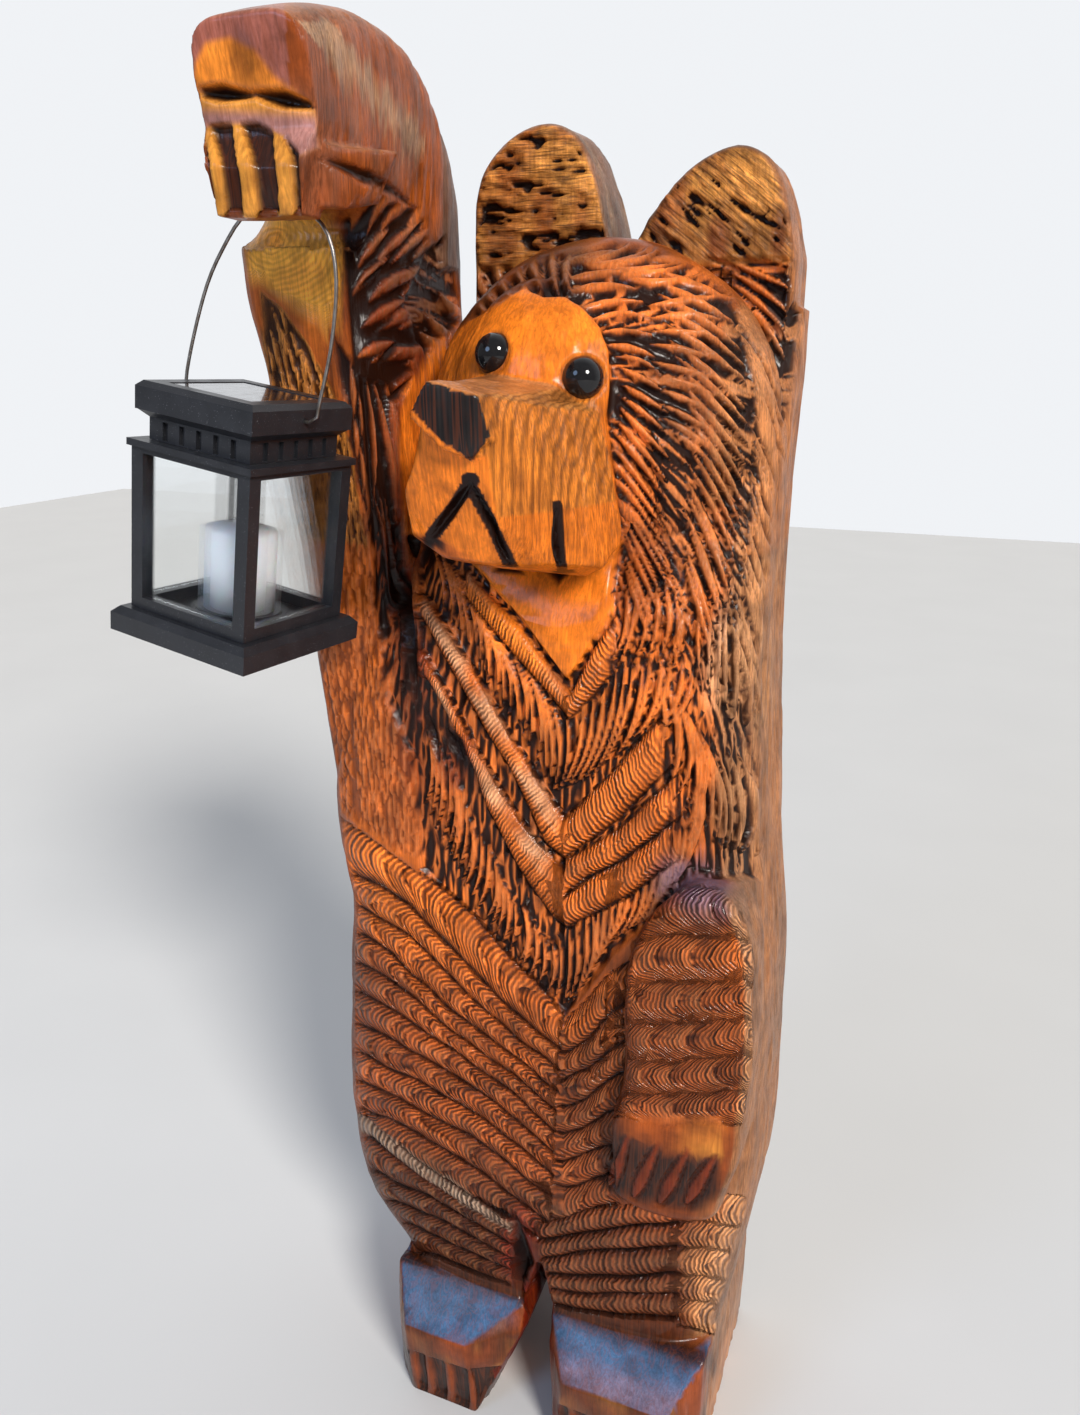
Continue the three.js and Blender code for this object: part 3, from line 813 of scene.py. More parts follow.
@dataclass
class BearForms:
    """The bear's rough forms before it is carved, mm.

    Attributes:
        trunk: height, left, right and front of each section of the log.
        arm: the raised arm: x, y, z of its middle, half its width and half its depth.
        claws: corners of the raised paw's block of claws.
        thumb: corners of the block behind them.
        muzzle: corners of the muzzle.
        nose: corners of the nose.
        left_ear: outline of the ear on the bear's right, x and z.
        right_ear: outline of the ear on the bear's left.
        hanging_arm: outline of the hanging arm.
        voxel: the grain of the joined surface, m.
    """

    trunk: tuple[tuple[float, float, float, float], ...] = (
        (90, -143, 180, -118),
        (139, -150, 186, -124),
        (205, -192, 197, -130),
        (290, -206, 208, -134),
        (350, -203, 211, -138),
        (470, -194, 209, -140),
        (540, -189, 205, -140),
        (640, -199, 194, -140),
        (780, -170, 184, -136),
        (850, -122, 181, -120),
        (930, -116, 180, -80),
        (1000, -112, 180, -26),
        (1060, -108, 179, 16),
    )
    arm: tuple[tuple[float, ...], ...] = (
        (-140, -30, 590, 50, 84),
        (-150, -30, 700, 51, 88),
        (-158, -30, 800, 51, 92),
        (-165, -30, 900, 52, 96),
        (-175, -30, 1000, 57, 100),
        (-184, -30, 1080, 64, 101),
        (-182, -38, 1138, 63, 99),
        (-165, -74, 1178, 55, 77),
        (-146, -134, 1196, 47, 55),
        (-130, -200, 1189, 44, 48),
        (-124, -246, 1180, 42, 42),
    )
    claws: tuple[tuple[float, float, float], ...] = (
        (-168, -242, 1160), (-84, -244, 1156), (-164, -250, 1140), (-88, -252, 1136), (-160, -246, 1110),
        (-94, -246, 1108), (-160, -222, 1110), (-94, -222, 1108), (-168, -218, 1160), (-84, -218, 1160),
    )
    thumb: tuple[tuple[float, float, float], ...] = (
        (-104, -232, 1150), (-80, -230, 1150), (-100, -230, 1116), (-82, -228, 1114), (-100, -215, 1116),
        (-82, -215, 1114), (-104, -150, 1126), (-92, -150, 1126), (-104, -140, 1160), (-80, -140, 1160),
    )
    muzzle: tuple[tuple[float, float, float], ...] = (
        (-22, -138, 1012), (38, -142, 1003), (-6, -246, 1006), (28, -242, 999), (-22, -240, 962),
        (30, -240, 960), (-37, -232, 935), (-38, -222, 906), (-12, -224, 892), (27, -226, 891),
        (34, -236, 925), (58, -190, 886), (80, -152, 880), (90, -116, 905), (66, -124, 985),
        (-72, -132, 905), (-62, -124, 985), (0, -150, 872), (62, -140, 870), (-50, -150, 884),
    )
    nose: tuple[tuple[float, float, float], ...] = (
        (-5, -257, 1010), (29, -250, 1001), (-17, -259, 988), (34, -247, 974), (21, -249, 962),
        (4, -254, 968), (-5, -200, 1008), (29, -200, 1001), (-20, -205, 986), (34, -205, 972), (4, -210, 966),
    )
    left_ear: tuple[Point, ...] = (
        (-98, 1110), (-93, 1158), (-68, 1190), (-34, 1201), (-6, 1190), (12, 1156), (24, 1112),
    )
    right_ear: tuple[Point, ...] = (
        (36, 1096), (50, 1120), (72, 1150), (98, 1169), (126, 1176), (150, 1163), (164, 1134), (173, 1096),
    )
    hanging_arm: tuple[Point, ...] = (
        (100, 324), (97, 362), (94, 400), (102, 430), (105, 470), (103, 520), (108, 566), (124, 606),
        (158, 636), (186, 626), (202, 590), (206, 560), (210, 500), (208, 440), (206, 400), (197, 362),
        (188, 330), (166, 318), (146, 315), (122, 316),
    )
    voxel: float = 0.0021

    def build(self) -> bpy.types.Object:
        """Joins the forms into one closed skin.

        Returns:
            The skin, in metres, still in the carving's own frame.
        """
        parts = [self._trunk(), *self._feet(), self._arm()]
        parts += [hull("claws", self.claws), hull("thumb", self.thumb), hull("muzzle", self.muzzle)]
        parts += [hull("nose", self.nose), ball("mane", (30, -12, 954), (150, 116, 158))]
        parts += [ball("face", (12, -60, 982), (88, 84, 102))]
        parts += [self._ear(self.left_ear), self._ear(self.right_ear), self._hanging_arm()]
        for part in parts:
            part.data.transform(MM_SCALE)
        bm = bmesh.new()
        for part in parts:
            bm.from_mesh(part.data)
            bpy.data.objects.remove(part)
        mesh = bpy.data.meshes.new("bear")
        bm.to_mesh(mesh)
        bm.free()
        skin = linked("bear_carving", mesh)
        return modified(skin, "REMESH", mode="VOXEL", voxel_size=self.voxel, use_smooth_shade=True)

    def _trunk(self) -> bpy.types.Object:
        """The log below the head, with the gap between the legs cut out.

        Returns:
            The log.
        """
        rows = spline(np.array(self.trunk), 160)
        rings = squarish(rows[:, 1], rows[:, 2], rows[:, 3], np.full(len(rows), BACK_Y), 4.5, 72)
        z = np.repeat(rows[:, 0][:, None, None], rings.shape[1], axis=1)
        trunk = loft("trunk", np.concatenate([rings, z], axis=2))
        gap = hull("leg_gap", [
            (-38, -220, -10), (34, -220, -10), (-38, 120, -10), (34, 120, -10), (8, -220, 145),
            (32, -220, 145), (8, 120, 145), (32, 120, 145), (20, -220, 205), (20, 120, 205),
        ])
        trunk = modified(trunk, "BOOLEAN", operation="DIFFERENCE", object=gap, solver="EXACT")
        bpy.data.objects.remove(gap)
        return trunk

    def _feet(self) -> list[bpy.types.Object]:
        """Two upright blocks whose toes stand out under a bevel.

        Returns:
            Both blocks.
        """
        ledge, toe, ankle = 100, -165, 139
        made = []
        for outer, inner, toe_outer, toe_inner, low in ((-137, 6, -112, -48, -36), (184, 32, 158, 56, 34)):
            made.append(hull("foot", [
                (outer, -128, 0), (toe_outer, -153, 0), ((toe_inner + low) / 2, -153, 0), (low, -124, 0),
                (outer, -131, ledge - 8), (toe_outer, toe, ledge), (toe_inner, toe + 2, ledge - 4),
                (inner, -136, ledge + 12), (outer, -125, ankle), (inner, -125, ankle),
                (outer, 76, 0), (low, 76, 0), (outer, 80, ankle), (inner, 80, ankle),
            ]))
        return made

    def _arm(self) -> bpy.types.Object:
        """The raised arm, bent forward into the paw.

        Returns:
            The arm.
        """
        rows = spline(np.array(self.arm), 120)
        middles = rows[:, :3]
        ahead = np.gradient(middles, axis=0)
        side = np.array([1.0, 0.0, 0.0])
        over = np.cross(ahead, side)
        over /= np.linalg.norm(over, axis=1)[:, None]
        flat = squarish(-rows[:, 3], rows[:, 3], -rows[:, 4], rows[:, 4], 4.0, 56)
        return loft("arm", middles[:, None] + flat[..., :1] * side + flat[..., 1:] * over[:, None])

    def _ear(self, outline: tuple[Point, ...]) -> bpy.types.Object:
        """A thick upright slab cut to its outline.

        Args:
            outline: x and z of its outline, mm.

        Returns:
            The slab.
        """
        curve = spline(np.array(outline), 60)
        root = min(outline[0][1], outline[-1][1]) - 70
        edge = np.vstack([[outline[0][0], root], curve, [outline[-1][0], root]])
        return slab("ear", edge, ((12, 5.0), (15, 1.5), (19, 0.0), (66, 0.0), (80, 2.0), (84, 6.0)))

    def _hanging_arm(self) -> bpy.types.Object:
        """The low slab of the arm that hangs on the bear's left."""
        edge = spline(np.array(self.hanging_arm + self.hanging_arm[:1]), 140)[:-1]
        return slab("hanging_arm", edge, ((-98, 0.0), (-146, 0.0), (-152, 3.0), (-156, 8.0), (-157, 15.0)))


FACE_EDGE: list[Point] = [
    (-66, 1019), (-56, 1034), (-38, 1044), (-20, 1054), (-4, 1062), (12, 1070), (28, 1064), (44, 1064),
    (58, 1056), (70, 1044), (77, 1028), (78, 1004), (76, 981), (80, 958), (86, 935), (90, 912), (88, 892),
    (82, 880), (40, 872), (-6, 874), (-40, 880), (-62, 892), (-88, 892), (-92, 960), (-84, 1000),
]


THATCHES: list[Thatch] = [  # plain locks under the led ones
    Thatch([(-66, 1019), (-96, 1030), (-80, 1080), (-20, 1130), (60, 1134), (150, 1110), (230, 1060),
            (228, 800), (214, 760), (120, 800), (60, 860)], (16, 990), 0.35, 60, 6.0, 0.16),
    Thatch([(-110, 900), (220, 900), (220, 640), (150, 640), (100, 570), (46, 490), (-20, 540),
            (-70, 590), (-110, 620)], (44, 900), 0.75, 52, 5.0, 0.05),
]
ROWS: list[Row] = [  # locks led by those that can be read
    # the mane on the bear's left of the face, three rows out from it
    Row([(140, 1098, 206, 1086), (150, 1084, 204, 1060), (156, 1070, 200, 1030), (166, 1050, 199, 985),
        (180, 1010, 204, 940), (183, 960, 206, 880), (180, 905, 203, 820), (172, 850, 196, 775)],
        10, 6.6, 2, 0.4, 0.2, 0.7),
    Row([(96, 1090, 160, 1074), (108, 1073, 169, 1035), (112, 1054, 177, 1012), (128, 1015, 180, 960),
        (135, 981, 177, 919), (136, 940, 172, 868), (134, 890, 162, 812)], 11.5, 7.8, 2, 0.4, 0.25, 0.7),
    Row([(30, 1086, 90, 1094), (42, 1071, 98, 1071), (58, 1052, 106, 1054), (67, 1044, 112, 1040),
        (77, 1033, 112, 1022), (83, 1019, 121, 1000), (85, 1004, 122, 982), (83, 992, 125, 952),
        (77, 981, 121, 931), (79, 958, 125, 902), (84, 930, 128, 868), (90, 905, 124, 840),
        (88, 880, 110, 816)], 11.5, 7.8, 1.5, 0.35, 0.3, 0.6),
    Row([(102, 1060, 160, 1062), (104, 1036, 160, 1024), (108, 1008, 160, 988), (118, 978, 160, 944)],
        11, 8, 2, 0.4, 0.2, 1.0, 0.9),
    # the top of the head, swept back over the right ear's root
    Row([(10, 1098, 60, 1112), (44, 1092, 104, 1100), (76, 1080, 146, 1078)], 9, 8, -5, 0.4, 0.3, 2),
    # forelock over the middle of the face
    Row([(-66, 1040, -40, 1030), (-56, 1058, -30, 1037), (-44, 1076, -20, 1046), (-29, 1088, -8, 1053),
        (-12, 1098, 7, 1060), (8, 1104, 20, 1066), (30, 1104, 34, 1066), (50, 1098, 48, 1068)],
        14, 13, -2, 0.45, 0.5, 1.5, 1.25),
    # pale upright locks on the shoulder and the long ones below them
    Row([(150, 866, 154, 792), (176, 862, 182, 772), (202, 858, 206, 762)], 8, 5.4, -2, 0.4, 0.2, 1.4),
    Row([(116, 806, 122, 734), (138, 780, 156, 694), (158, 752, 172, 662), (180, 748, 188, 664),
        (200, 744, 202, 668)], 9, 6.8, 8, 0.35, 0.2, 1.4),
    # the beard beside the first vee
    Row([(-70, 884, -60, 836), (-52, 874, -39, 806), (-34, 846, -26, 783)], 9, 8, 7, 0.4, 0.2, 0.6),
    Row([(88, 868, 80, 806), (100, 880, 84, 796), (116, 876, 118, 812), (134, 862, 128, 800)],
        9, 8, 8, 0.4, 0.2, 0.6),
    # the curtain of locks under the first vee
    Row([(-31, 836, -24, 773), (-13, 811, -1, 743), (4, 798, 10, 724), (15, 789, 25, 698),
        (34, 765, 35, 690), (59, 773, 40, 692), (86, 800, 59, 702), (108, 817, 87, 728),
        (127, 822, 104, 750), (146, 806, 122, 756)],
        9.5, 7.2, 9, 0.35, 0.25, 0.4),
    # the locks at the right ends of the vees
    Row([(136, 772, 128, 706), (152, 760, 146, 690), (158, 726, 142, 640)], 9, 8, 8, 0.35, 0.2, 0.6),
    # the curtain under the third vee
    Row([(-80, 730, -84, 660), (-63, 716, -70, 626), (-47, 681, -58, 607), (-39, 651, -50, 588),
        (-25, 637, -37, 569), (-12, 605, -17, 545), (2, 588, -1, 526), (21, 564, 15, 508), (34, 556, 29, 497),
        (48, 577, 45, 491), (61, 594, 53, 502), (80, 615, 70, 535), (102, 629, 83, 564), (119, 651, 100, 575),
        (135, 673, 116, 600), (154, 716, 138, 629)], 9.5, 7.0, 8, 0.35, 0.25, 0.4),
    # the deep inner side of the raised arm
    Row([(-116, 1010, -108, 900), (-100, 1010, -94, 896), (-86, 1004, -84, 896)], 10, 8, 5, 0.4, 0.3, 4),
    Row([(-114, 925, -106, 765), (-100, 925, -90, 760), (-86, 925, -78, 790)], 10, 9, 5, 0.4, 0.3, 4),
]
VEE_LEFT = [
    [(-75, 846), (-35, 788), (4, 727), (46, 668)],
    [(-79, 825), (-38, 754), (-4, 704), (27, 644), (46, 629)],
]
THIRD_LEFT = [
    [(-79, 800), (-42, 735), (-4, 675), (35, 633), (46, 622)],
    [(-77, 775), (-38, 704), (-23, 662), (12, 604), (36, 572), (46, 568)],
]
FIRST_LEFT = [[(-40, 872), (10, 826), (48, 780)], [(-40, 848), (6, 798), (48, 756)]]
CUT_OFF = (12.0, 0.6)  # fades on the left, ends sharply on the right
ROLLS: list[Rolls] = [  # rolls of fur
    Rolls(FIRST_LEFT, 8, (-44, -44), (50, 50), 3.4, 8, 0, CUT_OFF, crease_shade=0.6, plain=0.85),
    Rolls([[(48, 776), (66, 812), (84, 842)], [(48, 756), (70, 782), (90, 806)]], 5, (46, 46), (88, 88), 3.8,
        -12, 3, (0.6, 16), crease_shade=0.6),
    Rolls(VEE_LEFT, 10, (-90, -90), (50, 50), 3.4, 10, 0, CUT_OFF, plain=0.7),
    Rolls([[(47, 672), (72, 700), (118, 760)], [(47, 636), (84, 668), (136, 730)]], 8, (45, 45), (136, 136),
        4.2, -14, 5, (0.6, 26)),
    Rolls(THIRD_LEFT, 10, (-90, -90), (50, 50), 3.4, 10, 0, CUT_OFF, plain=0.6),
    Rolls([[(47, 634), (88, 668), (140, 726)], [(47, 602), (92, 640), (146, 690)],
        [(47, 568), (92, 604), (150, 660)]], 7, (45, 45), (146, 146), 4.2, -12, 5, (0.6, 26)),
    Rolls([[(-210, 660), (-108, 606), (-65, 585), (-19, 546), (19, 512), (48, 481)],
        [(-210, 600), (-100, 560), (-46, 512), (-4, 478), (47, 446)],
        [(-210, 572), (-104, 531), (-50, 486), (0, 452), (47, 424)],
        [(-210, 546), (-120, 505), (-65, 465), (-4, 432), (47, 402)],
        [(-210, 512), (-120, 474), (-65, 444), (-4, 410), (47, 380)],
        [(-210, 474), (-123, 444), (-60, 420), (0, 388), (47, 354)],
        [(-210, 436), (-120, 412), (-60, 392), (0, 364), (47, 330)],
        [(-210, 400), (-120, 380), (-60, 364), (0, 336), (47, 304)],
        [(-210, 366), (-110, 346), (-50, 330), (0, 304), (47, 278)],
        [(-210, 336), (-104, 313), (-40, 290), (20, 262), (47, 252)],
        [(-210, 310), (-100, 276), (-50, 258), (0, 240), (47, 228)]],
        6, (-210, -210), (48, 40), 5.2, 4, 15, (2, 4), 31, 2.8, 0.75),
    Rolls([[(-210, 334), (-154, 316), (-100, 281), (-50, 261), (0, 244)],
        [(-210, 300), (-154, 290), (-100, 260), (-50, 243), (0, 231)]],
        9, (-200, -200), (2, 2), 5.0, 4, 2, (4, 14), crease_shade=1.0),
    Rolls([[(-210, 300), (-154, 290), (-100, 262), (-50, 246), (0, 233)],
        [(-210, 266), (-150, 252), (-90, 240), (0, 214)],
        [(-210, 236), (-140, 222), (-80, 216), (0, 198)],
        [(-210, 210), (-130, 200), (-80, 194), (0, 184)],
        [(-210, 172), (-130, 172), (-80, 170), (0, 166)]],
        6, (-200, -200), (2, -2), 5.0, 5, 11, (2, 10), 34, 2.2, 0.95),
    Rolls([[(47, 481), (70, 510), (88, 540), (124, 572)],
        [(47, 446), (70, 470), (90, 500), (124, 530)],
        [(47, 420), (70, 440), (90, 462), (118, 488)],
        [(47, 392), (68, 405), (88, 430), (114, 452)],
        [(47, 362), (64, 372), (84, 395), (108, 414)],
        [(47, 330), (62, 340), (80, 356), (104, 374)],
        [(47, 300), (60, 306), (80, 322), (104, 334)],
        [(47, 262), (60, 268), (80, 290), (104, 304)]],
        6, (42, 34), (124, 104), 5.2, -6, 14, (4, 10), 28, 2.4, 0.75),
    Rolls([[(20, 252), (60, 278), (110, 306), (168, 334)],
        [(20, 232), (60, 252), (110, 280), (168, 306)],
        [(20, 210), (60, 230), (110, 252), (168, 276)],
        [(22, 190), (60, 202), (110, 220), (168, 248)],
        [(24, 174), (60, 182), (110, 200), (168, 224)],
        [(28, 160), (60, 164), (110, 176), (168, 192)]],
        8, (18, 30), (172, 174), 6.2, -3, 7, (8, 12), 0.0, 0.0, 0.95),
    # fine marks on the hanging arm
    Rolls([[(84, 660), (140, 690), (215, 680)], [(84, 600), (140, 632), (215, 640)],
        [(84, 566), (140, 585), (215, 600)], [(84, 524), (140, 542), (215, 562)],
        [(84, 486), (140, 504), (215, 528)], [(84, 452), (140, 466), (215, 498)],
        [(84, 420), (140, 432), (215, 462)], [(84, 396), (140, 400), (215, 428)]],
        2.2, (80, 80), (220, 220), 4.2, -10, 20, (6, 6), 38, 1.2, 0.4),
    Rolls([[(158, 334), (184, 346), (212, 352)], [(158, 304), (184, 314), (212, 320)],
        [(158, 274), (184, 284), (212, 290)], [(158, 244), (184, 254), (212, 260)],
        [(158, 214), (184, 224), (212, 230)], [(158, 184), (184, 190), (212, 196)]],
        2.6, (152, 156), (216, 216), 4.4, 5, 8, (14, 8), 26, 1.6, 0.5),
]
SINGLE_CUTS: list[Stroke] = [  # cuts made one by one
    # the mouth and the jaw's corner
    Stroke((-68, 888), (-29, 936), 11, 9, 0, 0.5, 0.0),
    Stroke((-33, 936), (2, 872), 11, 9, 0, 0.5, 0.0),
    Stroke((39, 920), (43, 872), 9, 8, -3, 0.65, 0.0),
    # a knot's hollow in the chest
    Stroke((-66, 740), (-38, 690), 30, 14, 0, 0.4, 0.0),
    Stroke((-84, 760), (-66, 700), 16, 14, 0, 0.5, 0.0),
    # slashes on the inner arm
    Stroke((-122, 1030), (-86, 1054), 10, 7),
    Stroke((-116, 1008), (-78, 1042), 10, 7),
    Stroke((-124, 1068), (-84, 1092), 10, 7),
    Stroke((-106, 1058), (-70, 1078), 9, 6),
    Stroke((-128, 1098), (-96, 1112), 9, 6),
    Stroke((-104, 985), (-76, 1010), 9, 7),
    # the line across the forearm under the paw
    Stroke((-150, 1160), (-66, 1120), 12, 6, 6),
    # the hollow where the thighs meet
    Stroke((-4, 262), (16, 140), 34, 18, 0, 0.6, 0.0),
    Stroke((0, 248), (-44, 262), 12, 7, 0, 0.3, 0.0),
    # where the arm meets the chest
    Stroke((-104, 935), (-88, 700), 26, 14, 4),
]


@dataclass
class Carving:
    """Everything the saw does to the bear, on the plate.

    Attributes:
        seed: for the small random changes.
        target: triangles of the finished piece.
    """

    seed: int = 11
    target: int = 190000

    def carve(self, skin: Skin) -> None:
        """Works out the relief.

        Args:
            skin: the bear's values, changed in place.
        """
        dice = np.random.default_rng(self.seed)
        _, y, z = skin.points.T
        px, pz = skin.plate_x, skin.plate_z
        front = smooth(0.12, 0.42, skin.facing)
        off_face = 1.0 - skin.within(FACE_EDGE, -3.0, 2.0)
        ear = smooth(1092, 1098, z) * smooth(4, 12, y)
        fur = front * (1.0 - ear)
        hanging = smooth(139, 144, -y) * (px > 84) * (pz < 645) * (pz > 306)
        torso = fur * (pz < 905) * (y > -175) * off_face
        head_off = (y < -195) & (pz > 860)
        chin = skin.within(CHIN, -1.0, 3.0)
        on_fur = fur * off_face * (1.0 - hanging) * (1.0 - head_off) * (1.0 - chin)
        body = fur * (y > -175)
        for thatch, depth, allowed, dark in (
            (Thatch(ARM_FRONT, (-150, 1400), 0.9, 22, 4.4, 1.0), 2.2, body * (pz < 905), 0.3),
            (Thatch(STRIP, (-260, 1160), 0.55, 26, 5.0, 1.0), 3.4, body, 0.6),
            (Thatch(INNER_ARM, (-230, 990), 0.0, 44, 12.0, 1.0), 5.0, fur * (y > -190), 0.85),
            (Thatch(ELBOW, (-150, 1300), 0.8, 40, 8.0, 1.0), 4.5, body * off_face, 0.8),
        ):
            skin.lay_fur(thatch.strokes(dice), thatch.outline, depth, allowed, dark)
        locks = [stroke for row in ROWS for stroke in row.strokes(dice)]
        locks += [stroke for thatch in THATCHES for stroke in thatch.strokes(dice)]
        skin.lay_fur(locks, FUR, 8.5, on_fur)
        *plain, palm_side, thigh_side = ROLLS
        for rolls in plain:
            skin.roll(rolls, torso * (1.0 - hanging))
        skin.roll(palm_side, torso * hanging)
        skin.roll(thigh_side, torso * (1.0 - hanging))
        for stroke in SINGLE_CUTS:
            skin.cut(stroke, fur)
        self._paw(skin)
        self._toes(skin)
        self._sockets(skin)
        self._torn(skin)
        self._saw_marks(skin)

    def _paw(self, skin: Skin) -> None:
        """The raised paw: the line under the knuckles and three claws left standing on sunk ground.

        Args:
            skin: the bear's values, changed in place.
        """
        y, z = skin.points[:, 1], skin.points[:, 2]
        px, pz = skin.plate_x, skin.plate_z
        front = smooth(0.05, 0.3, skin.facing) * (y < -200) * (z > 1095)
        for start, end in (((-262, 1211), (-196, 1203)), ((-206, 1206), (-146, 1192))):
            skin.cut(Stroke(start, end, 15, 12, -2, 0.5, -0.4), front)
        ground = skin.within(CLAW_BLOCK, -1.5, 2.0) * front
        claw = np.zeros(len(px))
        for top, low, half in CLAWS:
            t = np.clip((top[1] - pz) / (top[1] - low[1]), 0, 1)
            middle = top[0] + (low[0] - top[0]) * t + 2.0 * np.sin(np.pi * t)
            wide = half * np.clip(0.45 + 1.6 * t, 0, 1)
            claw = np.maximum(claw, smooth(wide + 1.2, wide - 1.2, np.abs(px - middle)) * (pz < top[1]))
        skin.height = mix(skin.height, -6.0 * (1.0 - claw), ground)
        skin.groove = mix(skin.groove, 0.25 * (1.0 - claw), ground)
        skin.claw = claw * ground
        skin.claw_ground = ground
        hand = smooth(0.1, 0.4, skin.facing) * (y < -120) * (pz < 420) * (px > 80)
        skin.low_claw = np.zeros(len(px))
        for top, low in LOW_CLAWS:
            t, away = segment(px, pz, top, low)
            wide = 4.6 * np.clip(t * 1.5, 0, 1) ** 0.8 * np.sqrt(np.clip((1.04 - t) * 3.5, 0, 1)) + 0.5
            on = smooth(wide + 0.8, wide - 1.2, away) * hand
            ditch = smooth(wide + 5, wide + 1, away) * (1 - on) * hand * np.clip(t * 3, 0, 1)
            skin.height -= 4.0 * ditch
            skin.groove = np.maximum(skin.groove, ditch * 0.5)
            skin.low_claw = np.maximum(skin.low_claw, on)

    def _toes(self, skin: Skin) -> None:
        """Short claws under the ledges of the feet.

        Args:
            skin: the bear's values, changed in place.
        """
        px, pz = skin.plate_x, skin.plate_z
        front = smooth(0.2, 0.5, skin.facing) * smooth(66, 58, skin.points[:, 2]) * (skin.points[:, 1] < -100)
        claw = np.zeros(len(px))
        for middle in (-119, -101, -78, -52, 58, 86, 114, 142):
            wide = 4.2 * np.sqrt(np.clip((46 - pz) / 26, 0, 1)) + 0.4
            claw = np.maximum(claw, smooth(wide + 1.0, wide - 1.4, np.abs(px - middle - 2 * np.cos(pz / 16))))
        skin.height -= 5.0 * front * (1.0 - claw)
        skin.low_claw = np.maximum(skin.low_claw, claw * front)

    def _sockets(self, skin: Skin) -> None:
        """A narrow hollow round each eye.

        Args:
            skin: the bear's values, changed in place.
        """
        x, y, z = skin.points.T
        for cx, cz in EYES:
            away = np.hypot(x - cx, z - cz)
            near = (1.0 - smooth(14.5, 17.0, away)) * (y < -60)
            skin.height = np.minimum(skin.height, -1.5 * near)
            skin.groove = np.maximum(skin.groove, near * 0.35)

    def _torn(self, skin: Skin) -> None:
        """Torn, splintered wood on the ears' fronts and the raised arm's outer strip.

        Args:
            skin: the bear's values, changed in place.
        """
        x, y, z = skin.points.T
        forward = smooth(0.4, 0.8, -skin.normals[:, 1])
        ear = smooth(1088, 1100, z) * smooth(6, 9, y) * (y < 24) * (x > -100) * forward
        right = ear * (x > 30)
        left = ear * (x <= 30)
        grain = Grain(5)
        turn = math.radians(38)
        cos, sin = math.cos(turn), math.sin(turn)
        slant = np.stack([x * cos - z * sin, y, x * sin + z * cos], axis=1)
        bend_x, bend_z = grain.at(skin.points, (22, 40, 22)), grain.at(skin.points + 50, (30, 40, 30))
        bent = np.stack([6 * bend_x, 0 * x, 5 * bend_z], axis=1)
        torn_right = 0.8 * grain.at(slant + bent, (24, 40, 3.6)) + 0.7 * grain.at(slant + 9, (9, 20, 2.4))
        torn_left = 0.9 * grain.at(skin.points + bent, (19, 40, 5.6)) + 0.7 * grain.at(skin.points + 9, (8, 20, 2.8))
        torn = right * torn_right + left * torn_left
        skin.ear = ear
        skin.ear_across = np.where(x > 30, slant[:, 2], z)
        skin.ear_along = np.where(x > 30, slant[:, 0], x)
        pit = smooth(-0.4, -0.66, torn)
        skin.height += ear * (np.clip(torn, -1, 1) * 2.6 - 4.5 * pit - 1.0)
        skin.fibre = np.maximum(skin.fibre, ear)
        skin.groove = np.where(ear > 0.3, pit, skin.groove)
        skin.crest = np.where(ear > 0.3, smooth(0.1, 0.5, torn), skin.crest)
        strip = inside(skin.plate_x, skin.plate_z, STRIP) * smooth(0.05, 0.3, skin.facing)
        skin.fibre = np.maximum(skin.fibre, strip * 0.8)

    def _saw_marks(self, skin: Skin) -> None:
        """Shallow flats and marks wherever the wood is plain.

        Args:
            skin: the bear's values, changed in place.
        """
        _, y, z = skin.points.T
        sideways = smooth(0.4, 0.8, np.abs(skin.normals[:, 0]))
        behind = smooth(0.3, 0.7, skin.normals[:, 1])
        grain = Grain(9)
        bark = grain.at(skin.points, (9, 7, 60)) + 0.6 * grain.at(skin.points, (5, 4, 24))
        plain = np.clip(sideways + behind, 0, 1) * (1.0 - np.clip(skin.rolled, 0, 1)) * (skin.groove < 0.3)
        skin.height += plain * np.clip(bark, -1, 0.5) * 1.3
        skin.fibre = np.maximum(skin.fibre, plain * 0.7 * (z > 60))
        muzzle = (y < -60) * skin.within(FACE_EDGE, -2.0, 3.0) * skin.seen
        skin.height += muzzle * grain.at(skin.points + 30, (5, 5, 60)) * 0.55
        flats = grain.at(skin.points, (34, 30, 48))
        skin.height += flats * 0.9


# Outlines and claws on the plate, mm. The claws are given by their top, their tip and half their width.
FUR: list[Point] = [
    (-64, 1019), (-70, 1040), (-80, 1060), (-60, 1096), (-20, 1120), (30, 1128), (90, 1122), (150, 1104),
    (240, 1060), (240, 780), (214, 700), (206, 648), (150, 640), (124, 600), (90, 556), (48, 484), (20, 500),
    (-24, 540), (-70, 580), (-90, 600), (-94, 700), (-118, 760), (-122, 1010), (-90, 1004), (-92, 900),
]
KNUCKLES: list[Point] = [
    (-252, 1212), (-248, 1228), (-238, 1240), (-216, 1242), (-196, 1232), (-180, 1214), (-160, 1200), (-150, 1194),
    (-176, 1196), (-200, 1202),
]
LEDGE: list[Point] = [
    (-250, 1210), (-200, 1203), (-170, 1197), (-148, 1190), (-146, 1166), (-166, 1162), (-176, 1174), (-204, 1186),
    (-240, 1188), (-252, 1180),
]
CLAW_BLOCK: list[Point] = [
    (-262, 1160), (-250, 1180), (-240, 1187), (-200, 1186), (-176, 1176), (-166, 1166), (-166, 1110), (-262, 1110),
]
LOW_CLAWS: list[tuple[Point, Point]] = [
    ((108, 384), (92, 322)), ((136, 386), (114, 318)), ((162, 388), (138, 320)), ((186, 390), (162, 328)),
]
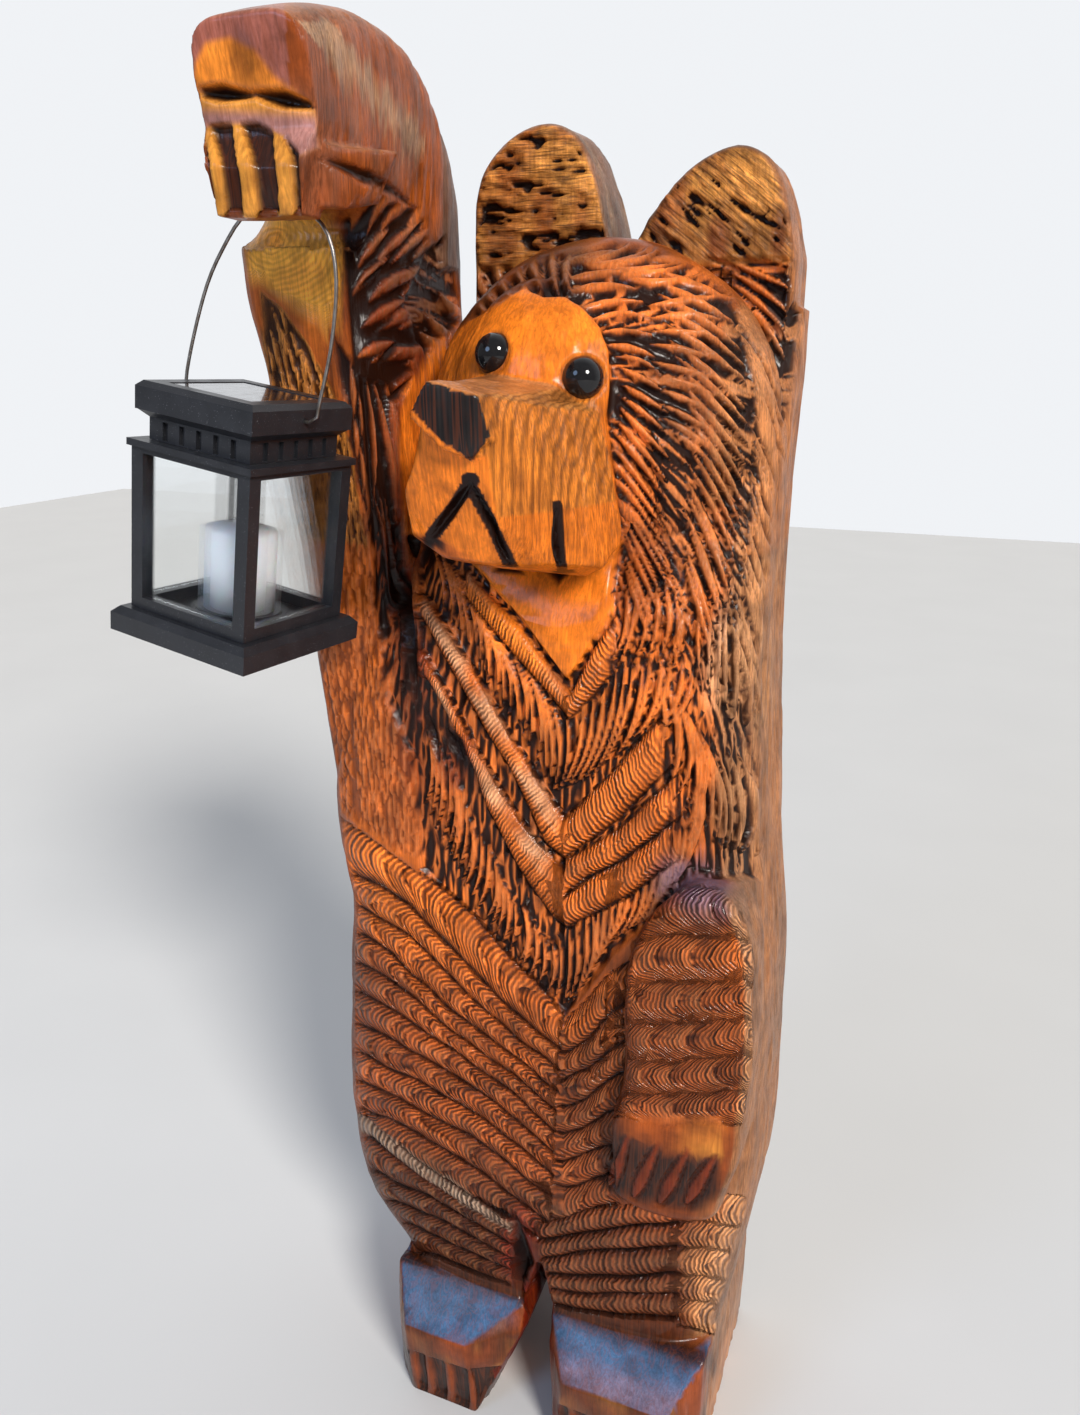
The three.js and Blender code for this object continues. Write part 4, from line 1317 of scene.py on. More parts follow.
CLAWS: list[tuple[Point, Point, float]] = [
    ((-245, 1194), (-238, 1120), 4.8), ((-219, 1194), (-210, 1120), 7.0), ((-183, 1188), (-179, 1120), 7.4),
]
CHIN: list[Point] = [(-40, 880), (10, 830), (46, 786), (62, 810), (80, 842), (84, 884)]
VEE_TOPS: list[list[Point]] = [
    [(-75, 846), (-35, 788), (4, 727), (42, 674), (34, 658), (-6, 712), (-40, 766), (-78, 830)],
    [(-79, 800), (-42, 735), (-4, 675), (35, 633), (26, 620), (-14, 658), (-44, 712), (-78, 784)],
    [(-40, 872), (10, 826), (44, 784), (40, 772), (6, 812), (-38, 858)],
]
ELBOW: list[Point] = [(-146, 1040), (-118, 1010), (-98, 1000), (-92, 900), (-124, 890), (-134, 950)]
INNER_ARM: list[Point] = [
    (-132, 1118), (-96, 1130), (-62, 1122), (-52, 1060), (-74, 1014), (-100, 996), (-128, 1000),
]
ARM_FRONT: list[Point] = [
    (-230, 905), (-122, 905), (-110, 840), (-94, 760), (-84, 690), (-72, 610), (-108, 612), (-160, 642), (-230, 668),
]
STRIP: list[Point] = [
    (-208, 1072), (-190, 1060), (-170, 1036), (-148, 1000), (-134, 960), (-128, 900), (-124, 880), (-210, 880),
]


@dataclass
class Staining:
    """Where the wood is bright, brown, red or scorched, and where shade, highlights and reflections are painted on it,
    on the plate.
    """

    def apply(self, skin: Skin) -> None:
        """Colours every vertex.

        Args:
            skin: the bear's values, changed in place.
        """
        px, pz = skin.plate_x, skin.plate_z
        seen = skin.seen
        cloud = Grain(3)
        broad = cloud.at(skin.points, (70, 70, 110))
        fine = cloud.at(skin.points, (16, 16, 30))
        skin.tint[:] = Stain.ORANGE.value
        skin.gloss[:] = 0.62
        skin.paint(Stain.RUST, smooth(-0.1, 0.9, broad) * 0.5)
        skin.paint(Stain.BRIGHT, smooth(0.0, 0.9, -broad) * 0.3)
        # painted shade: the seen front is darkened towards the bottom, most of all low on the legs
        lower = smooth(640, 380, pz) * seen
        skin.paint(Stain.RUST, lower * 0.75)
        skin.paint(Stain.BROWN, lower * 0.25)
        lowest = smooth(340, 250, pz) * seen * smooth(196, 160, px)
        skin.paint(Stain.BROWN, lowest * 0.9)
        skin.paint(Stain.UMBER, lowest * 0.45)
        # painted shade over the thighs
        self._patch(skin, (-80, 215), (120, 60), Stain.UMBER, 0.45, fine)
        skin.paint(Stain.UMBER, lower * smooth(0.1, 0.8, fine) * 0.35)
        for centre, radii, stain, strength in PATCHES:
            self._patch(skin, centre, radii, stain, strength, fine)
        front = inside(px, pz, ARM_FRONT) * seen
        skin.paint(Stain.RUST, front * 0.45)
        skin.paint(Stain.BROWN, front * smooth(0.0, 0.8, fine) * 0.4)
        self._patch(skin, (-52, 706), (24, 28), Stain.RED, 0.8, fine)
        skin.paint(Stain.BRIGHT, inside(px, pz, CHIN) * seen * 0.8)
        # partly painted highlight: the vee rolls' tops are paled as a glossy crust with glints painted on it
        for outline in VEE_TOPS:
            crust_and_glint = skin.within(outline, -1.0, 4.0) * seen
            skin.paint(Stain.PALE, crust_and_glint * smooth(-0.5, 0.3, fine) * 0.55, 0.9)
        # painted shade, partly the wood's red stain: the hollow where the thighs meet is darkened
        self._patch(skin, (6, 215), (26, 56), Stain.RED, 0.9, fine)
        skin.paint(Stain.GREY, inside(px, pz, THIGH_FOLD) * 0.9)
        band = skin.within(SHADED_ARM, -3.0, 5.0)
        skin.paint(Stain.BROWN, band * seen * 0.5)
        skin.fibre = np.maximum(skin.fibre, band * seen * 0.7)
        elbow = skin.within(ELBOW, -2.0, 6.0) * seen
        skin.paint(Stain.RUST, elbow * 0.6)
        skin.paint(Stain.UMBER, elbow * smooth(-0.2, 0.6, fine) * 0.4)
        self._strip(skin, fine)
        self._sides(skin, fine, broad)
        self._head(skin, fine)
        self._paw(skin, fine)
        self._hanging_paw(skin)
        self._feet(skin, fine)

    def _patch(self, skin: Skin, centre: Point, radii: Point, stain: Stain, strength: float, noise: Array) -> None:
        """Blends a soft ragged patch of one stain in.

        Args:
            skin: the bear's values, changed in place.
            centre: the patch's middle.
            radii: its half axes, mm.
            stain: its colour.
            strength: 0 to 1.
            noise: frays its edge.
        """
        away = np.hypot((skin.plate_x - centre[0]) / radii[0], (skin.plate_z - centre[1]) / radii[1])
        share = (1.0 - smooth(0.45, 1.1, away + 0.25 * noise)) * skin.seen
        skin.paint(stain, share * strength)

    def _strip(self, skin: Skin, fine: Array) -> None:
        """The raised arm's torn outer strip.

        Args:
            skin: the bear's values, changed in place.
            fine: a fine noise.
        """
        strip = inside(skin.plate_x, skin.plate_z, STRIP) * (skin.facing > 0.02)
        skin.paint(Stain.GOLD, strip * 0.75 * smooth(650, 950, skin.plate_z))
        skin.paint(Stain.RUST, strip * 0.3)
        skin.paint(Stain.BROWN, strip * 0.5 * smooth(0, 0.6, fine))

    def _sides(self, skin: Skin, fine: Array, broad: Array) -> None:
        """The log's sides and back, and the raised arm's outer side and back.

        Args:
            skin: the bear's values, changed in place.
            fine: a fine noise.
            broad: a broad noise.
        """
        x, _, z = skin.points.T
        right = smooth(0.45, 0.8, skin.normals[:, 0]) * (x > 150)
        skin.paint(Stain.TAN, right * 0.85)
        skin.paint(Stain.GREY, right * smooth(-0.4, 0.9, broad) * 0.45)
        behind = smooth(0.3, 0.8, skin.normals[:, 1])
        skin.paint(Stain.BROWN, behind * 0.8)
        skin.paint(Stain.TAN, behind * smooth(0.1, 0.9, broad) * 0.5)
        left = smooth(0.5, 0.85, -skin.normals[:, 0]) * (z < 1130)
        skin.paint(Stain.RUST, left * 0.6)
        skin.paint(Stain.UMBER, left * smooth(0.1, 0.7, fine) * 0.5)

    def _head(self, skin: Skin, fine: Array) -> None:
        """Face, muzzle, nose and ears.

        Args:
            skin: the bear's values, changed in place.
            fine: a fine noise.
        """
        x, y, z = skin.points.T
        px, pz = skin.plate_x, skin.plate_z
        inner = skin.within(FACE_EDGE, -2.0, 3.0) * (skin.facing > -0.2) * (y < 0)
        skin.paint(Stain.BRIGHT, inner * 0.95, 0.72)
        skin.rolled *= 1.0 - inner
        snout = inner * (y < -128)
        bridge = snout * smooth(0.5, 0.75, skin.normals[:, 2]) * (z > 985)
        skin.paint(Stain.TAN, bridge * 0.8)
        skin.paint(Stain.BROWN, bridge * smooth(0.0, 0.8, fine) * 0.5)
        plane = snout * smooth(0.35, 0.6, skin.normals[:, 0]) * (z > 925)
        skin.paint(Stain.GOLD, plane * 0.35)
        skin.streak = plane + inner * 0.25
        dark = inside(px, pz, NOSE_PLATE) * (y < -196) * (bridge < 0.5)
        skin.paint(Stain.COAL, dark, 0.45)
        skin.streak = np.maximum(skin.streak, dark * 0.8)
        for start, end, width in MOUTH:
            _, away = segment(px, pz, start, end)
            line = (1 - smooth(width - 1.0, width + 0.6, away)) * skin.seen * (y < -100)
            skin.paint(Stain.COAL, line)
            skin.groove = np.maximum(skin.groove, line)
        self._patch(skin, (16, 928), (16, 20), Stain.RED, 0.2, fine)
        fringe = (1.0 - skin.within(FACE_EDGE, -2.0, 3.0)) * skin.seen * (y < 20)
        fringe *= smooth(1112, 1092, pz) * smooth(1024, 1036, pz) * smooth(66, 50, px) * smooth(-84, -70, px)
        skin.paint(Stain.UMBER, fringe * 0.75, 0.9)
        ears = smooth(1088, 1100, z) * smooth(0, 8, y)
        skin.paint(Stain.GOLD, ears * smooth(0.4, 0.8, -skin.normals[:, 1]))
        skin.paint(Stain.TAN, ears * 0.35)
        skin.paint(Stain.RUST, ears * smooth(-0.2, 0.6, fine) * 0.7)
        skin.paint(Stain.BROWN, ears * smooth(1150, 1100, z) * 0.5)
        rim = ears * (1 - smooth(0.4, 0.8, -skin.normals[:, 1]))
        skin.paint(Stain.GREY, rim * 0.75)
        skin.paint(Stain.PALE, rim * smooth(0.0, 0.8, fine) * 0.4)
        side = smooth(0.5, 0.8, skin.normals[:, 0]) * (z > 880) * (x > 140)
        skin.paint(Stain.TAN, side * 0.9)
        skin.paint(Stain.ORANGE, side * 0.25)

    def _paw(self, skin: Skin, fine: Array) -> None:
        """The raised forearm and paw.

        Args:
            skin: the bear's values, changed in place.
            fine: a fine noise.
        """
        x, y, z = skin.points.T
        px, pz = skin.plate_x, skin.plate_z
        arm = (x < -50) * smooth(1040, 1110, z) * (1 - smooth(1086, 1100, z) * smooth(0, 8, y) * (x > -100))
        skin.paint(Stain.BROWN, arm * 0.35)
        skin.paint(Stain.RUST, arm * (px < -130) * 0.6)
        skin.paint(Stain.TAN, arm * smooth(0.2, 0.8, skin.normals[:, 2]) * 0.5)
        skin.paint(Stain.PALE, arm * inside(px, pz, PALE_BACK) * 0.7)
        skin.paint(Stain.GREY, arm * smooth(0.0, 0.6, fine) * 0.25)
        pad = (y < -205) * skin.within(KNUCKLES, -3.0, 3.0) * skin.seen
        skin.paint(Stain.BRIGHT, pad * 0.95)
        skin.paint(Stain.GOLD, pad * 0.35)
        skin.paint(Stain.GOLD, pad * smooth(0.2, 0.9, -fine) * 0.5)
        self._patch(skin, (-206, 1228), (14, 26), Stain.UMBER, 0.5, fine)
        # painted reflection: a rose sheen on the paw's top edge above the knuckles
        top = (y < -205) * (pz > 1200) * (1 - pad) * skin.seen * (px < -168)
        skin.paint(Stain.ROSE, top * 0.35)
        ledge = skin.within(LEDGE, -2.0, 2.0) * (y < -200) * skin.seen
        skin.paint(Stain.GOLD, ledge * 0.9)
        skin.paint(Stain.ROSE, ledge * smooth(4.0, -6.0, pz - np.interp(px, (-250, -150), (1199, 1188))) * 0.85)
        # partly painted light: the end grain under the paw is bright orange of its own, painted brighter still to make
        # up for the shade the paw casts on it
        patch = skin.within(UNDER_PAW, -4.0, 6.0) * skin.seen * (y > -150)
        skin.paint(Stain.SUNLIT_AMBER, patch)
        skin.paint(Stain.BRIGHT, patch * smooth(0.0, 0.9, fine) * 0.4)
        rings = np.hypot(px + 190, 1.5 * (pz - 1106)) / 5.5
        skin.along = np.where(patch > 0.2, rings, skin.along)
        skin.rolled = mix(skin.rolled, np.full(len(px), 0.18), patch)
        skin.paint(Stain.COAL, skin.claw_ground * 0.97, 0.8)
        skin.paint(Stain.GOLD, skin.claw * 0.9)
        skin.fibre *= 1.0 - skin.claw_ground
        skin.streak = np.maximum(skin.streak, skin.claw_ground * (1.0 - skin.claw) * 0.7)

    def _hanging_paw(self, skin: Skin) -> None:
        """The palm of the hanging arm, and its dark claws.

        Args:
            skin: the bear's values, changed in place.
        """
        px, pz = skin.plate_x, skin.plate_z
        on = (skin.points[:, 1] < -120) * skin.seen
        palm = skin.within(PALM, -3.0, 3.0) * on
        skin.paint(Stain.ORANGE, palm * 0.85)
        skin.paint(Stain.RUST, palm * 0.6)
        skin.paint(Stain.GOLD, palm * smooth(140, 185, px) * smooth(430, 385, pz) * 0.6)
        skin.rolled *= 1.0 - palm
        low = skin.within(CLAW_GROUND, -6.0, 8.0) * on
        skin.paint(Stain.UMBER, low * 0.95)
        skin.paint(Stain.COAL, low * 0.5)
        skin.rolled *= 1.0 - 0.7 * low
        skin.groove *= 1.0 - skin.low_claw
        skin.paint(Stain.RED, skin.low_claw * 0.95)
        skin.paint(Stain.RUST, skin.low_claw * 0.35)

    def _feet(self, skin: Skin, fine: Array) -> None:
        """Smooth bevels with a painted sky reflection, brown ledges, dark toes and a painted shadow above the feet.

        Args:
            skin: the bear's values, changed in place.
            fine: a fine noise.
        """
        x, y, z = skin.points.T
        px, pz = skin.plate_x, skin.plate_z
        feet = (z < 139) * (y < -100)
        skin.paint(Stain.BROWN, feet * 0.9, 0.8)
        skin.crest *= 1.0 - feet
        bevel = feet * smooth(0.35, 0.6, skin.normals[:, 2])
        # painted reflection: the feet's upward bevels are stained slate blue in place of the sky's reflection in the
        # varnish
        skin.paint(Stain.PAINTED_SKY_SHEEN, bevel * 0.9, 1.0)
        skin.paint(Stain.ROSE, bevel * smooth(116, 96, pz + 6 * fine) * (px > 40) * 0.35)
        skin.paint(Stain.UMBER, bevel * smooth(0.2, 0.8, fine) * 0.25)
        edge = feet * (1 - bevel) * smooth(60, 66, z) * skin.seen
        skin.paint(Stain.RUST, edge * smooth(-0.3, 0.5, fine) * 0.8)
        skin.paint(Stain.GOLD, edge * smooth(0.2, 0.9, -fine) * 0.35)
        skin.rolled *= 1.0 - feet
        skin.fibre *= 1.0 - feet * 0.8
        toes = (z < 62) * skin.seen * (y < -100) * (1.0 - 0.9 * skin.low_claw)
        skin.paint(Stain.UMBER, toes * 0.9)
        skin.paint(Stain.COAL, toes * 0.5)
        skin.paint(Stain.RUST, (z < 62) * skin.low_claw * 0.5)
        shadow = smooth(176, 164, pz) * smooth(146, 152, pz) * skin.seen * (y < -60)
        skin.paint(Stain.UMBER, shadow * 0.85)
        # painted shade, partly the wood's red stain: the sides of the gap between the legs are darkened
        split = (z < 200) * (np.abs(x - 18) < 40) * smooth(0.5, 0.8, np.abs(skin.normals[:, 0]))
        skin.paint(Stain.RED, split * 0.9, 0.8)


NOSE_PLATE: list[Point] = [(-80, 986), (-68, 1008), (-22, 996), (-14, 968), (-30, 950), (-56, 964)]
PALE_BACK: list[Point] = [(-158, 1246), (-132, 1244), (-80, 1190), (-56, 1160), (-66, 1155), (-100, 1186)]
UNDER_PAW: list[Point] = [
    (-222, 1128), (-190, 1124), (-142, 1124), (-128, 1100), (-136, 1060), (-150, 1040), (-178, 1062), (-216, 1080),
]
PALM: list[Point] = [(106, 404), (186, 426), (196, 410), (190, 386), (170, 380), (140, 376), (118, 384), (98, 386)]
CLAW_GROUND: list[Point] = [
    (92, 384), (118, 382), (150, 374), (186, 384), (190, 350), (170, 322), (94, 312), (84, 340),
]
THIGH_FOLD: list[Point] = [
    (-175, 325), (-154, 314), (-60, 266), (-4, 243), (-4, 232), (-60, 248), (-170, 300),
]
SHADED_ARM: list[Point] = [(-156, 1040), (-140, 1108), (-120, 1112), (-118, 880), (-146, 880)]
MOUTH: tuple[tuple[Point, Point, float], ...] = (
    ((-68, 888), (-29, 936), 5.2), ((-33, 936), (2, 872), 5.2), ((39, 920), (43, 872), 4.2),
)
PATCHES: list[tuple[Point, Point, Stain, float]] = [  # middle, half axes, stain and strength
    ((-150, 470), (50, 60), Stain.BROWN, 0.6),
    ((70, 400), (50, 90), Stain.BROWN, 0.7),
    ((150, 500), (80, 130), Stain.BROWN, 0.6),
    ((156, 625), (62, 44), Stain.UMBER, 0.7),
    # painted reflection: a slate blue sheen on the hanging arm's top
    ((162, 632), (50, 30), Stain.PAINTED_SKY_SHEEN, 0.35),
    ((20, 840), (60, 50), Stain.BRIGHT, 0.8),
    ((150, 960), (60, 120), Stain.TAN, 0.3),
    ((80, 1104), (120, 28), Stain.UMBER, 0.6),
    ((150, 1000), (50, 60), Stain.BROWN, 0.4),
    ((90, 880), (40, 60), Stain.RUST, 0.6),
    ((180, 810), (36, 60), Stain.PALE, 0.6),
    ((196, 960), (24, 110), Stain.PALE, 0.45),
    ((180, 700), (22, 50), Stain.TAN, 0.6),
    ((196, 260), (34, 90), Stain.TAN, 0.6),
    # painted shade, partly the wood's red stain: the deep inner side of the raised arm, down to the chest
    ((-95, 790), (24, 120), Stain.RED, 0.9),
    ((-100, 930), (30, 120), Stain.RED, 0.85),
    ((-88, 1060), (56, 70), Stain.RED, 0.9),
]


@dataclass
class Bear:
    """The one-piece carving: its forms, cuts and stain.

    Attributes:
        forms: the rough forms.
        carving: the cuts.
        staining: the colours.
        face_front: the face's triangles stay small in front of this y, mm.
        paw_area: the raised paw's stay small left of, above and in front of these, mm.
        kept: the values that the material reads from the mesh.
    """

    forms: BearForms = field(default_factory=BearForms)
    carving: Carving = field(default_factory=Carving)
    staining: Staining = field(default_factory=Staining)
    face_front: float = -60.0
    paw_area: tuple[float, float, float] = (-140.0, 1100.0, -195.0)
    kept: tuple[str, ...] = (
        "groove", "crest", "along", "rolled", "fibre", "streak", "gloss", "ear", "ear_across", "ear_along",
    )

    def build(self, material: bpy.types.Material) -> bpy.types.Object:
        """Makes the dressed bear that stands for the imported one.

        Args:
            material: the finish of the wood.

        Returns:
            The finished piece.
        """
        made = self.forms.build()
        log.info("rough skin: %d vertices", len(made.data.vertices))
        modified(made, "SMOOTH", factor=0.5, iterations=4)
        points = coordinates(made.data) / MM
        skin = Skin(points, vertex_normals(made.data))
        self.carving.carve(skin)
        self.staining.apply(skin)
        moved = points + skin.normals * skin.height[:, None]
        low, high = (np.array(corner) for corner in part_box("bear"))
        moved = (moved + ORIGIN_SHIFT) * MM
        moved = np.clip(moved, low, high)
        made.data.vertices.foreach_set("co", moved.ravel())
        made.data.update()
        share = self.carving.target / (2 * len(made.data.polygons))
        fine = self._fine(skin)
        group = made.vertex_groups.new(name="fine")
        group.add(np.flatnonzero(fine).tolist(), 1.0, "REPLACE")
        log.info("kept fine: %d vertices", int(fine.sum()))
        modified(made, "DECIMATE", ratio=share, use_collapse_triangulate=True, vertex_group="fine",
                 vertex_group_factor=1.0, invert_vertex_group=True)
        made.data.vertices.foreach_set("co", np.clip(coordinates(made.data), low, high).ravel())
        self._store(made, skin, moved)
        for polygon in made.data.polygons:
            polygon.use_smooth = True
        made.data.materials.clear()
        made.data.materials.append(material)
        log.info("bear: %d triangles", len(made.data.polygons))
        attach(made, "root")
        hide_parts("bear")
        return made

    def _fine(self, skin: Skin) -> Array:
        """Tells where the triangles stay small: the face, the raised paw's front and the ears.

        Args:
            skin: the bear's values.

        Returns:
            A mask.
        """
        px, pz, y = skin.plate_x, skin.plate_z, skin.points[:, 1]
        left, low, front = self.paw_area
        face = inside(px, pz, FACE_EDGE) & (y < self.face_front)
        paw = (px < left) & (pz > low) & (y < front)
        return (face | paw) & (skin.facing > -0.1) | (skin.ear > 0.3)

    def _store(self, made: bpy.types.Object, skin: Skin, moved: Array) -> None:
        """Writes the values of the nearest fine vertex on every kept one.

        Args:
            made: the object that gets them.
            skin: the bear's values.
            moved: the fine vertices, m.
        """
        tree = KDTree(len(moved))
        for i, point in enumerate(moved):
            tree.insert(point, i)
        tree.balance()
        nearest = np.array([tree.find(v.co)[1] for v in made.data.vertices])
        for name in self.kept:
            layer = made.data.attributes.new(name, "FLOAT", "POINT")
            layer.data.foreach_set("value", getattr(skin, name)[nearest].astype(np.float32))
        layer = made.data.attributes.new("tint", "FLOAT_COLOR", "POINT")
        rgba = np.concatenate([skin.tint[nearest], np.ones((len(nearest), 1))], axis=1)
        layer.data.foreach_set("color", rgba.astype(np.float32).ravel())


# ---------------------------------------------------------------- finishes


class Nodes:
    """A short way to write a material's nodes."""

    def __init__(self, name: str) -> None:
        """Makes an empty material with its output and main shader.

        Args:
            name: the material's name.
        """
        self.material = bpy.data.materials.new(name)
        self.material.use_nodes = True
        self.tree = self.material.node_tree
        self.shader = self.tree.nodes["Principled BSDF"]

    def add(self, kind: str, settings: dict[str, object] | None = None, **inputs: object) -> bpy.types.Node:
        """Adds a node.

        Args:
            kind: its type, without the ShaderNode prefix.
            settings: the node's own properties.
            inputs: values or sockets by input name, with _ for a space; i0, i1 for inputs by number.

        Returns:
            The node.
        """
        node = self.tree.nodes.new("ShaderNode" + kind)
        for key, value in (settings or {}).items():
            setattr(node, key, value)
        for key, value in inputs.items():
            numbered = key[0] == "i" and key[1:].isdigit()
            self.put(node.inputs[int(key[1:]) if numbered else key.replace("_", " ")], value)
        return node

    def put(self, socket: bpy.types.NodeSocket, value: object) -> None:
        """Sets a socket to a value, or links another socket to it.

        Args:
            socket: the input.
            value: a value or a socket.
        """
        if isinstance(value, bpy.types.NodeSocket):
            self.tree.links.new(value, socket)
        else:
            socket.default_value = value

    def math(self, operation: str, a: object, b: object = 0.0) -> bpy.types.NodeSocket:
        """One step of arithmetic, and its result's socket."""
        return self.add("Math", {"operation": operation}, i0=a, i1=b).outputs[0]

    def times(self, a: object, b: object) -> bpy.types.NodeSocket:
        """Both multiplied."""
        return self.math("MULTIPLY", a, b)

    def plus(self, a: object, b: object) -> bpy.types.NodeSocket:
        """Both added."""
        return self.math("ADD", a, b)

    def minus(self, a: object, b: object) -> bpy.types.NodeSocket:
        """The second taken from the first."""
        return self.math("SUBTRACT", a, b)

    def blend(self, share: object, a: object, b: object, how: str = "MIX") -> bpy.types.NodeSocket:
        """Blends two colours, and gives the result's socket.

        Args:
            share: 0 for the first colour, 1 for the second.
            a: the first colour, or its socket.
            b: the second colour, or its socket.
            how: the kind of blend.

        Returns:
            The socket of the result.
        """
        node = self.tree.nodes.new("ShaderNodeMix")
        node.data_type = "RGBA"
        node.blend_type = how
        for place, value in ((0, share), (6, a), (7, b)):
            self.put(node.inputs[place], (*value, 1.0) if isinstance(value, tuple) else value)
        return node.outputs[2]

    def attribute(self, name: str, colour: bool = False) -> bpy.types.NodeSocket:
        """The socket of a value stored on the mesh."""
        node = self.add("Attribute", {"attribute_name": name})
        return node.outputs["Color" if colour else "Fac"]

    def place(self, scale: tuple[float, float, float]) -> bpy.types.NodeSocket:
        """The place on the object, in metres, scaled."""
        coordinate = self.add("TexCoord").outputs["Object"]
        return self.add("Mapping", Vector=coordinate, Scale=scale).outputs["Vector"]

    def noise(
        self, scale: tuple[float, float, float], detail: float = 3.0, rough: float = 0.5, bend: float = 0.0
    ) -> bpy.types.NodeSocket:
        """The value of a noise with the given steps a metre.

        Args:
            scale: steps a metre along each axis.
            detail: its finer layers.
            rough: how strong they are.
            bend: how far it is bent.

        Returns:
            The value's socket.
        """
        where = self.place(scale)
        node = self.add("TexNoise", Vector=where, Scale=1.0, Detail=detail, Roughness=rough, Distortion=bend)
        return node.outputs[0]

    def ramp(
        self, value: object, low: float, high: float, to_low: float = 0.0, to_high: float = 1.0
    ) -> bpy.types.NodeSocket:
        """Carries a value from one range to another, clamped."""
        return self.add("MapRange", {"clamp": True}, i0=value, i1=low, i2=high, i3=to_low, i4=to_high).outputs[0]

    def bump(self, height: object, distance: float, normal: object | None = None) -> bpy.types.NodeSocket:
        """A bumped normal.

        Args:
            height: socket of the height.
            distance: the height of 1, m.
            normal: a normal to bump, or none.

        Returns:
            The normal's socket.
        """
        node = self.add("Bump", Height=height, Distance=distance, Strength=1.0)
        if normal is not None:
            self.put(node.inputs["Normal"], normal)
        return node.outputs[0]

    def finish(self, colour: object, rough: object, normal: object, **plain: float) -> bpy.types.Material:
        """Joins up the main shader.

        Args:
            colour: socket of the surface's colour.
            rough: socket of its roughness.
            normal: socket of its bumped normal.
            plain: values by socket name, with _ for a space, that are the same all over.

        Returns:
            The finished material.
        """
        for name, socket in (("Base Color", colour), ("Roughness", rough), ("Normal", normal)):
            self.put(self.shader.inputs[name], socket)
        for name, value in plain.items():
            self.shader.inputs[name.replace("_", " ")].default_value = value
        return self.material


